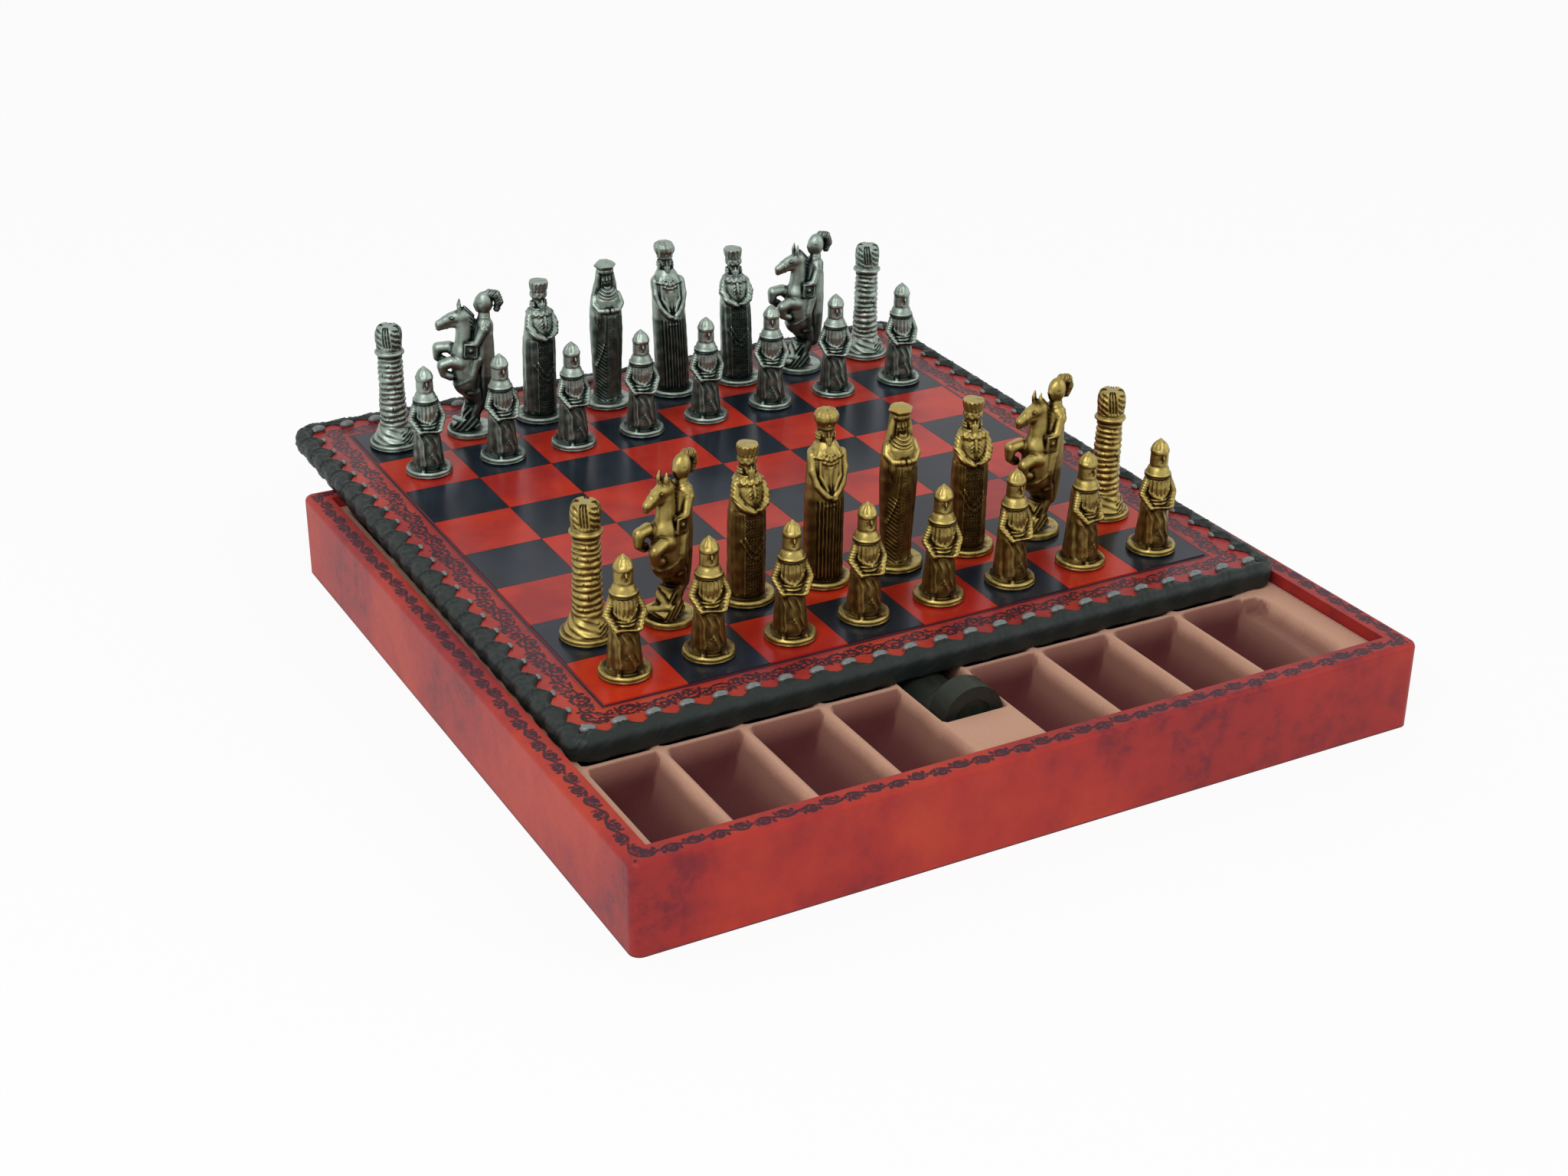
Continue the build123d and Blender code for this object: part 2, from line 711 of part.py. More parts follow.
gold_order = ["rook", "knight", "bishop", "king", "queen", "bishop", "knight", "rook"]
silver_order = ["rook", "knight", "bishop", "queen", "king", "bishop", "knight", "rook"]
pairs = ("rook", "knight", "bishop")
ranks = (
    ("gold", ["pawn"] * squares_across, 0, gold_pawn_stands),
    ("gold", gold_order, 1, gold_officer_stands),
    ("silver", ["pawn"] * squares_across, squares_across - 2, silver_pawn_stands),
    ("silver", silver_order, squares_across - 1, silver_officer_stands),
)
for army, rank, row, stands in ranks:
    for column, kind in enumerate(rank):
        to_right, to_back, turn = stands[column]
        stand = Location(
            (
                (column + 0.5) * square - field / 2 + to_right,
                (row + 0.5) * square - field / 2 + to_back,
                tile_top + figure_gap,
            ),
            (0, 0, turn),
        )
        with BuildPart() as figure:
            with Locations(board_plane.location * stand):
                add(forms[kind])
        if kind == "pawn":
            name = f"{army}_pawn_{column + 1}"
        elif kind in pairs:
            name = f"{army}_{kind}_{1 if column < squares_across / 2 else 2}"
        else:
            name = f"{army}_{kind}"
        export(figure, name)
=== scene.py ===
# %% [markdown]
# A square leather case for chess and draughts, open, with its laced board laid across it and two
# armies of cast metal men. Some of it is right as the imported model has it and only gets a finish:
# the case, the tray, the squares. The lacing and the men are soft or sculpted forms, so they are
# worked out here with numpy. Everything is in metres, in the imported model's own frame: +Z up,
# +Y to the back, the origin under the middle of the case.

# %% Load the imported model
from math import atan2, cos, pi, radians, sin, tan, tau

import bpy
import numpy as np
from mathutils import Euler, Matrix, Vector


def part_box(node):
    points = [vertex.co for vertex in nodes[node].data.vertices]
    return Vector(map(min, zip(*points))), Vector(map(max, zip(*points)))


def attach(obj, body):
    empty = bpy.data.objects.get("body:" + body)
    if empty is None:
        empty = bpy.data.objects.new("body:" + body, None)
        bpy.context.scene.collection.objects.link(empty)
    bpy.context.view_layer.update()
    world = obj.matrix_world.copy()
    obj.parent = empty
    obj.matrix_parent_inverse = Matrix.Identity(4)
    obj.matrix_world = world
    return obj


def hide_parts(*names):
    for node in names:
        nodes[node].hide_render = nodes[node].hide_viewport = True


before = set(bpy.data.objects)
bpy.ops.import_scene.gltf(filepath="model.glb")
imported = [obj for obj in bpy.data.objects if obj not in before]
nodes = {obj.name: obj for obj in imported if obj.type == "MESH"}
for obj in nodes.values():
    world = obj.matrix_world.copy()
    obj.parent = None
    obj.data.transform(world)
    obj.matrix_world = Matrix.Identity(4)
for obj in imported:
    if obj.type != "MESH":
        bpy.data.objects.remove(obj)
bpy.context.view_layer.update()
mm = 0.001

# %% Sizes of the real pieces that the finishes need, in metres
square = 28.2 * mm
field = 8 * square
board_margin = 17.5 * mm
board_size = field + 2 * board_margin
case_size = 280 * mm
case_height = 30.5 * mm
tray_top = 26.4 * mm
rim_width = 8.2 * mm
board_setback = 61.2 * mm
board_low, board_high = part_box("board_core")
tilt = atan2(case_height - tray_top, case_size / 2 - rim_width + case_size / 2 - board_setback)
board_centre = (board_low + board_high) / 2
print("board's tilt in degrees:", round(tilt * 180 / pi, 3))

# %% [markdown]
# A photograph is matched first by its camera. The lens, the place and the turn below were worked
# out from the case's corners and the board's grid, so the render lines up with no cropping.

# %% Camera
camera_data = bpy.data.cameras.new("camera")
camera_data.sensor_width = 36
camera_data.lens = 53.222
camera = bpy.data.objects.new("camera", camera_data)
camera.location = (-0.3587, -0.6206, 0.3737)
camera.rotation_euler = Euler((radians(63.795), radians(-0.425), radians(-28.654)))
camera_data.clip_start = 0.01
bpy.context.scene.collection.objects.link(camera)
bpy.context.scene.camera = camera
print("camera looks along azimuth 28.9 degrees, 26.2 degrees down")

# %% [markdown]
# A material is a graph of nodes, but long graphs are hard to read as lists of links. Here a small
# class wraps a socket, so that shader maths is written as an ordinary expression: each operator
# adds a Math node. Colours go through Mix nodes, because a Math node would turn them grey.


# %% Sockets that take operators
class Wire:
    """One output socket of a material's graph, or a plain number, that takes Python's operators."""

    def __init__(self, graph, socket):
        self.graph = graph
        self.socket = socket

    def _math(self, operation, *others, clamp=False):
        return self.graph.node(
            "ShaderNodeMath", {"operation": operation, "use_clamp": clamp}, self, *others
        )

    def __rsub__(self, other):
        return self.graph.node("ShaderNodeMath", {"operation": "SUBTRACT"}, other, self)

    def wrap(self, period):
        """The value folded into 0 to period, again and again."""
        return self._math("WRAP", period, 0.0)

    def clamp(self):
        return self._math("ADD", 0.0, clamp=True)

    def ramp(self, start, end):
        """0 at start, 1 at end, smooth between and flat outside."""
        settings = {"interpolation_type": "SMOOTHSTEP"}
        return self.graph.node("ShaderNodeMapRange", settings, self, start, end)


def operator(operation):
    """A method of Wire that adds one Math node."""
    return lambda wire, *others: wire._math(operation, *others)


for names, operation in (
    (("__add__", "__radd__"), "ADD"),
    (("__sub__",), "SUBTRACT"),
    (("__mul__", "__rmul__"), "MULTIPLY"),
    (("__gt__",), "GREATER_THAN"),
    (("__abs__",), "ABSOLUTE"),
    (("power",), "POWER"),
    (("sine",), "SINE"),
    (("least",), "MINIMUM"),
    (("most",), "MAXIMUM"),
):
    for name in names:
        setattr(Wire, name, operator(operation))


class Graph:
    """A material whose nodes are made by calls, with its Principled shader ready."""

    def __init__(self, name, **constants):
        self.material = bpy.data.materials.new(name)
        self.material.use_nodes = True
        self.tree = self.material.node_tree
        self.shader = self.tree.nodes["Principled BSDF"]
        for socket, value in constants.items():
            self.shader.inputs[socket.replace("_", " ")].default_value = value

    def node(self, kind, settings=None, *values, out=0, **named):
        """Adds a node: its settings first, then the values or links of its sockets, in order or by name."""
        made = self.tree.nodes.new(kind)
        for key, value in (settings or {}).items():
            setattr(made, key, value)
        pairs = list(zip(made.inputs, values))
        pairs += [(made.inputs[key.replace("_", " ")], value) for key, value in named.items()]
        for socket, value in pairs:
            self.feed(socket, value)
        return Wire(self, made.outputs[out])

    def feed(self, socket, value):
        if isinstance(value, Wire):
            self.tree.links.new(value.socket, socket)
        elif value is not None:
            socket.default_value = value

    def place(self):
        """The point on the surface in the object's own metres, as three wires."""
        coordinates = self.node("ShaderNodeTexCoord", out="Object")
        split = self.tree.nodes.new("ShaderNodeSeparateXYZ")
        self.tree.links.new(coordinates.socket, split.inputs[0])
        return coordinates, [Wire(self, split.outputs[n]) for n in range(3)]

    def noise(self, where, scale, detail=4.0, roughness=0.5, stretch=None):
        """Cloudy noise from 0 to 1 at so many lumps a metre."""
        if stretch:
            where = self.node("ShaderNodeMapping", None, where, None, None, stretch)
        return self.node(
            "ShaderNodeTexNoise", None, Vector=where, Scale=scale, Detail=detail, Roughness=roughness
        )

    def mix(self, share, first, second):
        """A colour between two colours."""
        made = self.tree.nodes.new("ShaderNodeMix")
        made.data_type = "RGBA"
        for socket, value in zip((made.inputs[0], made.inputs[6], made.inputs[7]), (share, first, second)):
            self.feed(socket, (*value, 1.0) if isinstance(value, tuple) else value)
        return Wire(self, made.outputs[2])

    def bump(self, height, depth, strength=1.0):
        """Tilts the normal as if the surface stood out by height times depth metres."""
        raised = self.node("ShaderNodeBump", None, Height=height, Distance=depth, Strength=strength)
        self.feed(self.shader.inputs["Normal"], raised)

    def set(self, socket, wire):
        self.feed(self.shader.inputs[socket], wire)


def paint(material, *pieces):
    """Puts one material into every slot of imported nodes, given by name, or of new pieces."""
    for piece in pieces:
        piece = nodes[piece] if isinstance(piece, str) else piece
        if not piece.material_slots:
            piece.data.materials.append(material)
        for place in piece.material_slots:
            place.material = material


print("shader helpers ready")

# %% [markdown]
# The case and the board share one kind of ornament: a tooled scroll, pressed in dark ink along the
# borders. A picture of it isn't needed. Along a border the pattern repeats, so one unit is drawn
# with distances: a wavy stem, a curl on alternate sides, and a leaf. The same few lines of maths
# serve the narrow case rim and the wide board border.


# %% A scroll along a border
def frame_wires(graph, x, y):
    """Along and across a square border: the larger of |x| and |y| is the distance from the middle."""
    sideways = abs(x) > abs(y)
    along = x + (y - x) * sideways
    across = abs(x).most(abs(y))
    return along, across


def near(distance, width, soft=0.25 * mm):
    """1 where a distance is under width, falling smoothly to 0."""
    return 1 - distance.ramp(width - soft / 2, width + soft / 2)


def scroll(along, across, pitch, half, line):
    """A stem that waves with the pitch, a double curl in each wave and a leaf where it turns."""
    phase = along * (pi / pitch)
    side = (phase.sine() > 0) * 2 - 1
    u = along.wrap(pitch) - pitch / 2
    v = across * side
    stem = abs(v + (u * (pi / pitch) + pi / 2).sine() * (0.55 * half) - 0.1 * half)
    around = (u * u + (v - 0.15 * half) * (v - 0.15 * half)).power(0.5)
    outer = abs(around - 0.62 * half)
    v_inner = v - 0.3 * half
    u_inner = u - 0.12 * half
    inner = abs((u_inner * u_inner + v_inner * v_inner).power(0.5) - 0.26 * half)
    u_leaf = abs(abs(u) - 0.36 * pitch)
    leaf = (u_leaf * u_leaf * 3 + (v - 0.55 * half) * (v - 0.55 * half)).power(0.5) - 0.16 * half
    return near(stem.least(outer).least(inner).least(leaf), line)


print("scroll ornament ready")

# %% [markdown]
# The case is covered in oxblood leather that is mottled by hand: broad dark clouds, finer flecks, a
# faint grain, and a wax finish that picks up a pale sheen at low angles. All of it is noise at
# different scales on the object's own coordinates, so the clouds run on round the corners.

# %% Mottled red leather
red_bright = (0.38, 0.026, 0.020)
red_orange = (0.47, 0.046, 0.022)
red_dark = (0.15, 0.013, 0.022)
tool_ink = (0.014, 0.005, 0.016)


def mottled(graph, where, fine=1.0):
    """The cloudy red of the leather, from two sizes of cloud and small flecks."""
    broad = graph.noise(where, 19 * fine, 5, 0.58, stretch=(1.0, 1.0, 0.7))
    small = graph.noise(where, 110 * fine, 6, 0.7)
    cloud = broad.ramp(0.44, 0.66)
    fleck = small.ramp(0.42, 0.68)
    warm = graph.mix(broad.ramp(0.30, 0.55), red_orange, red_bright)
    return graph.mix((cloud * (0.3 + fleck * 0.45) + fleck * 0.18).clamp(), warm, red_dark)


def leather_grain(graph, where):
    """Fine pores and soft wrinkles, 0 to 1."""
    pores = graph.node("ShaderNodeTexVoronoi", None, Vector=where, Scale=1400.0)
    return pores * 0.5 + graph.noise(where, 380, 5, 0.6)


case_leather = Graph("case_leather", Roughness=0.42, Specular_IOR_Level=0.22)
where, (x, y, z) = case_leather.place()
along, across = frame_wires(case_leather, x, y)
rim_middle = case_size / 2 - rim_width / 2
on_top = z > case_height - 1.2 * mm
wander = (case_leather.noise(where, 160, 3) - 0.5) * (2.6 * mm)
tooling = scroll(along + wander, across - rim_middle + wander * 0.6, 7.2 * mm, 2.6 * mm, 0.56 * mm) * on_top
worn = case_leather.noise(where, 900, 3).ramp(0.22, 0.46)
tooling = tooling * worn
case_leather.set("Base Color", case_leather.mix(tooling * 0.93, mottled(case_leather, where), tool_ink))
grain = leather_grain(case_leather, where)
case_leather.set("Roughness", grain * 0.12 + 0.36)
case_leather.bump(grain * 0.35 - tooling * 1.2, 0.12 * mm, 0.6)
paint(case_leather.material, "case_cover")

base_paper = Graph("base_paper", Roughness=0.8)
where, _ = base_paper.place()
base_paper.set(
    "Base Color", base_paper.mix(base_paper.noise(where, 300), (0.16, 0.03, 0.03), (0.09, 0.02, 0.02))
)
base_paper.bump(base_paper.noise(where, 900), 0.1 * mm, 0.5)
paint(base_paper.material, "base_cover", "board_lining")

raw_wood = Graph("raw_wood", Roughness=0.7)
where, _ = raw_wood.place()
grain = raw_wood.noise(where, 120, 6, 0.6, stretch=(1.0, 12.0, 12.0))
raw_wood.set("Base Color", raw_wood.mix(grain, (0.62, 0.45, 0.28), (0.40, 0.26, 0.15)))
raw_wood.bump(grain, 0.2 * mm, 0.4)
paint(raw_wood.material, "front_wall", "back_wall", "left_wall", "right_wall", "bottom_panel", "board_core")
print("case materials:", [m.name for m in bpy.data.materials])

# %% [markdown]
# New pieces are worked out as arrays of points. One helper turns such arrays into a mesh object
# that shades smoothly, and leaves it at the origin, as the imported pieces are.


# %% From arrays to a piece
def mesh_from(name, points, quads, triangles=np.zeros((0, 3), int)):
    """A smooth mesh object from arrays: points in metres, then four-sided and three-sided faces."""
    mesh = bpy.data.meshes.new(name)
    mesh.vertices.add(len(points))
    mesh.vertices.foreach_set("co", np.ascontiguousarray(points, dtype=np.float32).ravel())
    corners = np.concatenate([quads.ravel(), triangles.ravel()]).astype(np.int32)
    sizes = np.concatenate([np.full(len(quads), 4), np.full(len(triangles), 3)])
    mesh.loops.add(len(corners))
    mesh.loops.foreach_set("vertex_index", corners)
    mesh.polygons.add(len(sizes))
    mesh.polygons.foreach_set("loop_start", (np.cumsum(sizes) - sizes).astype(np.int32))
    mesh.polygons.foreach_set("use_smooth", np.ones(len(sizes), bool))
    mesh.update(calc_edges=True)
    made = bpy.data.objects.new(name, mesh)
    bpy.context.scene.collection.objects.link(made)
    return made


print("mesh helper ready")

# %% [markdown]
# The tray is a formed sheet sprayed with flock. Heat rounds every edge of such a sheet, so it is
# made as a height over a plan: each channel is a bowl-shaped dip with softened ends, the well is a
# steep one, and the deepest dip counts. The ribs between the channels come out by themselves, as
# soft crests. Flock has no gloss. Its colour is painted darker and redder with depth, as painted
# shade in the hollows, and the end walls under the board's edge get a painted shadow as well.


# %% Tray
def soft_rise(value, soft):
    """0 for values well below 0 and the value itself well above, with a round bend between."""
    return soft * np.logaddexp(0, value / soft)


def box_depth(x, y, low, high, corner):
    """How far inside a rounded rectangle a point lies, negative outside."""
    middle = [(a + b) / 2 for a, b in zip(low, high)]
    over = [np.abs(v - m) - (b - a) / 2 + corner for v, m, a, b in zip((x, y), middle, low, high)]
    outside = np.hypot(np.maximum(over[0], 0), np.maximum(over[1], 0))
    return corner - outside - np.minimum(np.maximum(over[0], over[1]), 0)


tray_half = 131.5
channel_depth = 15.5
sheet_thickness = 0.9
channel_middles = [-115.4, -88.5, -60.6, -32.8, 18.0, 46.0, 74.0, 101.8]
channel_rows = [(-127.0, -81.8), (-78.6, 78.6), (81.8, 127.0)]
well_low, well_high = (-19.1, -106.5), (3.9, 106.5)
step_end = -95.9


def tray_dip(x, y):
    """Depth below the tray's top: the full depth times 1 less (across over half the width)^2.6."""
    dip = np.zeros(np.broadcast(x, y).shape)
    for front, back in channel_rows:
        end = np.clip(np.minimum(y - front, back - y) / 7.0, -0.5, 1)
        ends = channel_depth * (1 - np.maximum(1 - end, 0) ** 2.2)
        for middle in channel_middles:
            half = 11.6 if middle < -110 else 12.7
            bowl = channel_depth * (1 - (np.abs(x - middle) / half) ** 2.6)
            lower = np.minimum(bowl, ends) - 0.8 * np.exp(-np.abs(bowl - ends) / 2.5)
            dip = np.maximum(dip, soft_rise(lower, 0.8))
        shelf = box_depth(x, y, (101.8, front + 1.5), (122.0, back - 1.5), 5.0)
        dip = np.maximum(dip, soft_rise(np.minimum(4.6, shelf * 2.2), 0.6))
    well = box_depth(x, y, well_low, well_high, 1.6)
    floor_depth = np.where(y < step_end, 13.4, 21.9)
    return np.maximum(dip, floor_depth * fade(well, -0.3, 0.35))


def fade(value, start, end):
    """0 before start, 1 after end, on a smooth S between: 3 t squared less 2 t cubed."""
    t = np.clip((value - start) / (end - start), 0, 1)
    return t * t * (3 - 2 * t)


def wave(value, pitch):
    """A cosine that repeats every pitch."""
    return np.cos(value * tau / pitch)


def bell(value, width):
    """1 at 0, falling off smoothly to both sides over about the width."""
    return np.exp(-((value / width) ** 2))


wall_lines = np.linspace(-0.6, 0.6, 7)
even_x, even_y = [np.linspace(-tray_half, tray_half, count) for count in (190, 165)]
close_x = [place + wall_lines for place in (well_low[0], well_high[0])]
close_y = [place + wall_lines for place in (well_low[1], well_high[1], step_end)]
tray_x = np.unique(np.concatenate([even_x, *close_x]))
tray_y = np.unique(np.concatenate([even_y, *close_y]))
grid_x, grid_y = np.meshgrid(tray_x, tray_y, indexing="ij")
top_z = tray_top / mm - 0.02 - tray_dip(grid_x, grid_y)
sheet = np.stack([np.stack([grid_x, grid_y, top_z - drop]) for drop in (0, sheet_thickness)], axis=1)
across_count, along_count = grid_x.shape
number = np.arange(2 * across_count * along_count).reshape(2, across_count, along_count)
corners = [number[:, :-1, :-1], number[:, 1:, :-1], number[:, 1:, 1:], number[:, :-1, 1:]]
upper = np.stack([corner[0] for corner in corners], axis=-1)
lower = np.stack([corners[turn][1] for turn in (0, 3, 2, 1)], axis=-1)
tray_quads = [upper.reshape(-1, 4), lower.reshape(-1, 4)]
edge_walk = np.concatenate(
    [number[:, :-1, 0], number[:, -1, :-1], number[:, :0:-1, -1], number[:, 0, :0:-1]], axis=1
)
edge_next = np.roll(edge_walk, -1, axis=1)
tray_quads.append(np.stack([edge_walk[0], edge_walk[1], edge_next[1], edge_next[0]], axis=-1))
tray = mesh_from("tray", sheet.reshape(3, -1).T * mm, np.concatenate(tray_quads))
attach(tray, "case")
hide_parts("tray_insert")
# Painted shadow: walls that rise towards the back, such as the channels' end walls under the board's front
# edge, are marked here so that the flock is painted darker on them.
wall_shadow_share = np.clip(np.gradient(top_z, tray_y, axis=1) / 1.2, 0, 1) * fade(grid_y, -140, -139)
thin = tray.data.attributes.new("thin", "FLOAT", "POINT")
thin.data.foreach_set("value", np.stack([wall_shadow_share, wall_shadow_share]).astype(np.float32).ravel())

flock = Graph("flock", Roughness=0.95, Specular_IOR_Level=0.1, Sheen_Weight=0.25, Sheen_Roughness=0.4)
flock.shader.inputs["Sheen Tint"].default_value = (1.0, 0.78, 0.66, 1)
where, (x, y, z) = flock.place()
depth = (tray_top - z) * (1 / (channel_depth * mm))
specks = flock.noise(where, 2600, 3, 0.7)
patches = flock.noise(where, 45, 3)
wall_shadow = flock.node("ShaderNodeAttribute", {"attribute_name": "thin"}, out="Fac")
# Painted shade: the flock is painted darker and redder the deeper it lies, and darker still on the end
# walls in the board's shadow.
shade = (depth + wall_shadow * 0.42 + (patches - 0.5) * 0.25 + (specks - 0.5) * 0.2).clamp()
pale = flock.mix(specks, (0.62, 0.37, 0.26), (0.52, 0.28, 0.19))
brown = flock.mix(shade.ramp(0.0, 0.34), pale, (0.235, 0.105, 0.078))
flock.set("Base Color", flock.mix(shade.ramp(0.3, 0.95), brown, (0.10, 0.026, 0.026)))
flock.bump(specks, 0.18 * mm, 0.7)
paint(flock.material, tray)
print("tray points:", len(tray.data.vertices))

# %% [markdown]
# The draughts are turned discs with a raised rim. Only their dark front one shows, on its edge.

# %% Draughts
dark_disc = Graph("dark_disc", Roughness=0.38, Specular_IOR_Level=0.3)
where, _ = dark_disc.place()
rub = dark_disc.noise(where, 500, 4, 0.6, stretch=(1.0, 0.2, 1.0))
dark_disc.set("Base Color", dark_disc.mix(rub, (0.007, 0.010, 0.007), (0.022, 0.026, 0.019)))
dark_disc.set("Roughness", rub * 0.2 + 0.3)
dark_disc.bump(rub, 0.05 * mm, 0.4)
paint(dark_disc.material, "front_draught", "second_draught", "dark_draughts")

light_disc = Graph("light_disc", Roughness=0.4)
where, _ = light_disc.place()
rub = light_disc.noise(where, 500, 4, 0.6, stretch=(1.0, 0.2, 1.0))
light_disc.set("Base Color", light_disc.mix(rub, (0.62, 0.50, 0.34), (0.52, 0.40, 0.25)))
light_disc.set("Roughness", rub * 0.2 + 0.3)
paint(light_disc.material, "light_draughts")
print("draughts painted")

# %% [markdown]
# The board's squares are printed on the same leather and varnished, so they are smooth and glossy
# and show the room in them, with the mottling of the leather faint below.

# %% Board squares and border


def varnished(name, base, cloud, rough):
    """Printed leather under varnish: faint clouds below, slight waviness in the gloss."""
    graph = Graph(name, Roughness=rough, Specular_IOR_Level=0.2)
    where, _ = graph.place()
    broad = graph.noise(where, 26, 5, 0.6).ramp(0.38, 0.66)
    graph.set("Base Color", graph.mix(broad, base, cloud))
    swell = graph.noise(where, 120, 3)
    graph.set("Roughness", graph.noise(where, 60, 3) * 0.1 + rough)
    graph.bump(swell + graph.noise(where, 1500, 2) * 0.12, 0.05 * mm, 0.5)
    return graph.material


paint(varnished("red_square", (0.52, 0.026, 0.008), (0.33, 0.012, 0.010), 0.2), "red_squares")
paint(varnished("black_square", (0.005, 0.008, 0.016), (0.012, 0.018, 0.032), 0.18), "black_squares")

border_leather = Graph("border_leather", Roughness=0.36, Specular_IOR_Level=0.22)
where, (x, y, z) = border_leather.place()
along, across = frame_wires(border_leather, x - board_centre.x, (y - board_centre.y) * (1 / cos(tilt)))
frame_line = near(abs(across - field / 2 - 0.75 * mm), 0.62 * mm)
second_line = near(abs(across - field / 2 - 1.9 * mm), 0.14 * mm)
wander = (border_leather.noise(where, 240, 2) - 0.5) * (1.4 * mm)
vine_middle = across - field / 2 - 6.0 * mm + wander * 0.6
vine = scroll(along + wander, vine_middle, 10.2 * mm, 4.2 * mm, 0.55 * mm)
vine = vine.most(scroll(along - wander + 5.1 * mm, vine_middle, 10.2 * mm, 3.4 * mm, 0.42 * mm))
vine = vine * border_leather.noise(where, 700, 3).ramp(0.28, 0.5)
ink = frame_line.most(second_line * 0.6).most(vine)
border_leather.set(
    "Base Color", border_leather.mix(ink * 0.95, mottled(border_leather, where, 1.4), tool_ink)
)
grain = leather_grain(border_leather, where)
border_leather.bump(grain * 0.3 - ink, 0.12 * mm, 0.55)
paint(border_leather.material, "board_leather")

black_leather = Graph("black_leather", Roughness=0.48, Specular_IOR_Level=0.3)
where, _ = black_leather.place()
crease = black_leather.noise(where, 420, 6, 0.62)
tone = black_leather.noise(where, 60, 3)
black_leather.set("Base Color", black_leather.mix(tone, (0.006, 0.011, 0.010), (0.014, 0.021, 0.019)))
black_leather.set("Roughness", crease * 0.2 + 0.38)
black_leather.bump(crease, 0.3 * mm, 0.55)
print("board materials done")

# %% [markdown]
# The board's edge is bound with a wide, soft thong that is wound round it and pulled through a row
# of holes. On the real board it is one band: flat on top, drawn in to a point at each hole, creased
# where two turns meet, and rolled over the edge. So it is one closed surface here, with a place
# along the edge and a place across the band as its two parameters.

# %% The laced edge
board_front = -case_size / 2 + board_setback
board_origin = np.array(
    [
        board_centre.x,
        board_front + board_size / 2 * cos(tilt),
        tray_top + 0.1 * mm + board_size / 2 * sin(tilt),
    ]
)
board_axes = np.array([(1, 0, 0), (0, cos(tilt), sin(tilt)), (0, -sin(tilt), cos(tilt))])


def on_board(points):
    """Points measured in millimetres from the middle of the board's underside, put in the frame."""
    return board_origin + mm * (points @ board_axes)


lace_half = 130.3
lace_round = 3.3
lace_lower_round = 0.5
lace_corner = 6.0
lace_top = 8.9
lace_reach = 7.0
stitches = 23


def edge_path(columns):
    """Round the rounded square: the outer point, the inner point it is drawn in to, and the phase."""
    side = 2 * (lace_half - lace_corner)
    bend = lace_corner * pi / 2
    walk = np.arange(columns) / columns * 4 * (side + bend)
    edge = np.floor(walk / (side + bend)).astype(int)
    along = walk - edge * (side + bend)
    straight = np.minimum(along, side) - side / 2
    turn = np.maximum(along - side, 0) / lace_corner
    outer = np.stack([straight + lace_corner * np.sin(turn), -lace_half + lace_corner * (1 - np.cos(turn))])
    inset = lace_half - lace_reach
    inner = np.stack([np.clip(outer[0], -inset, inset), np.full(columns, -inset)])
    spin = edge * pi / 2
    wheel = np.array([[np.cos(spin), -np.sin(spin)], [np.sin(spin), np.cos(spin)]])
    phase = along / (side + bend) * stitches
    return np.einsum("ijn,jn->in", wheel, outer), np.einsum("ijn,jn->in", wheel, inner), phase, edge


def laced_edge(columns, rows):
    """The band: across it, a flat, a quarter round, the side, a quarter round and a flat below.

    Its upper end reaches in to 6.6 mm at a hole and to 3 mm between two, in straight slopes, and
    its thickness is a return path 0.6 mm inside the outer one.
    """
    outer, inner, phase, edge = edge_path(columns)
    saw = np.abs(np.mod(phase, 1) - 0.5) * 2
    wobble = 0.5 * np.sin(phase * 7.1) + 0.5 * np.sin(phase * 2.3 + 1)
    tip = 3.1 + 3.4 * np.clip(saw * 1.15 - 0.1, 0, 1) + 0.35 * wobble
    t = np.linspace(0, 1, rows)[:, None]
    round_length = lace_round * pi / 2
    lower_length = lace_lower_round * pi / 2
    flat = tip - lace_round
    side = lace_top - lace_round - lace_lower_round
    below = 3.0
    total = flat + round_length + side + lower_length + below
    run = t * total
    first = np.clip((run - flat) / lace_round, 0, pi / 2)
    second = np.clip((run - flat - round_length - side) / lace_lower_round, 0, pi / 2)
    on_flat = np.clip(run, None, flat)
    on_side = np.clip(run - flat - round_length, 0, side)
    on_below = np.clip(run - flat - round_length - side - lower_length, 0, None)
    inset = tip - on_flat - lace_round * np.sin(first) + lace_lower_round * (1 - np.cos(second)) + on_below
    height = lace_top - lace_round * (1 - np.cos(first)) - on_side - lace_lower_round * np.sin(second)
    lying = (edge % 2 == 1)[None, :]
    bulge = (
        (0.9 + 0.5 * lying)
        * np.sin(pi * np.clip((run - flat) / (round_length + side + lower_length), 0, 1))
    )
    angle = first + second
    slant = phase + 0.045 * run * np.where(lying, 1.6, 0.8)
    seam = np.abs(np.mod(slant, 1) - 0.5) * 2
    hole = bell(1 - seam, 0.13) * bell(run - 3.2, 3.4)
    turns = 0.28 * np.cos(np.mod(slant - 0.5, 1) * tau) * bell(run - 4, 6)
    folds = 0.14 * np.sin(slant * 21 + run) + 0.11 * np.sin(slant * 37 - run * 0.8 + 2 * wobble)
    relief = -0.9 * hole * np.where(lying, 1.0, 0.5) - 0.2 - turns + folds * np.where(lying, 1.0, 0.6)
    relief += 0.3 * np.sin(phase * tau + 0.4) * np.sin(angle)
    at_tip = bell(run, 0.8)
    relief -= 0.8 * at_tip
    relief = np.minimum(relief, 0.15) + bulge
    skin = []
    for depth in (0.0, 0.6):
        inward = inset + (depth - relief) * np.sin(angle)
        up = height - (depth - relief) * np.cos(angle)
        share = inward / lace_reach
        flat_place = outer[:, None, :] + (inner - outer)[:, None, :] * share[None]
        skin.append(np.stack([flat_place[0], flat_place[1], up]))
    loop = np.concatenate([skin[0], skin[1][:, ::-1]], axis=1)
    return loop


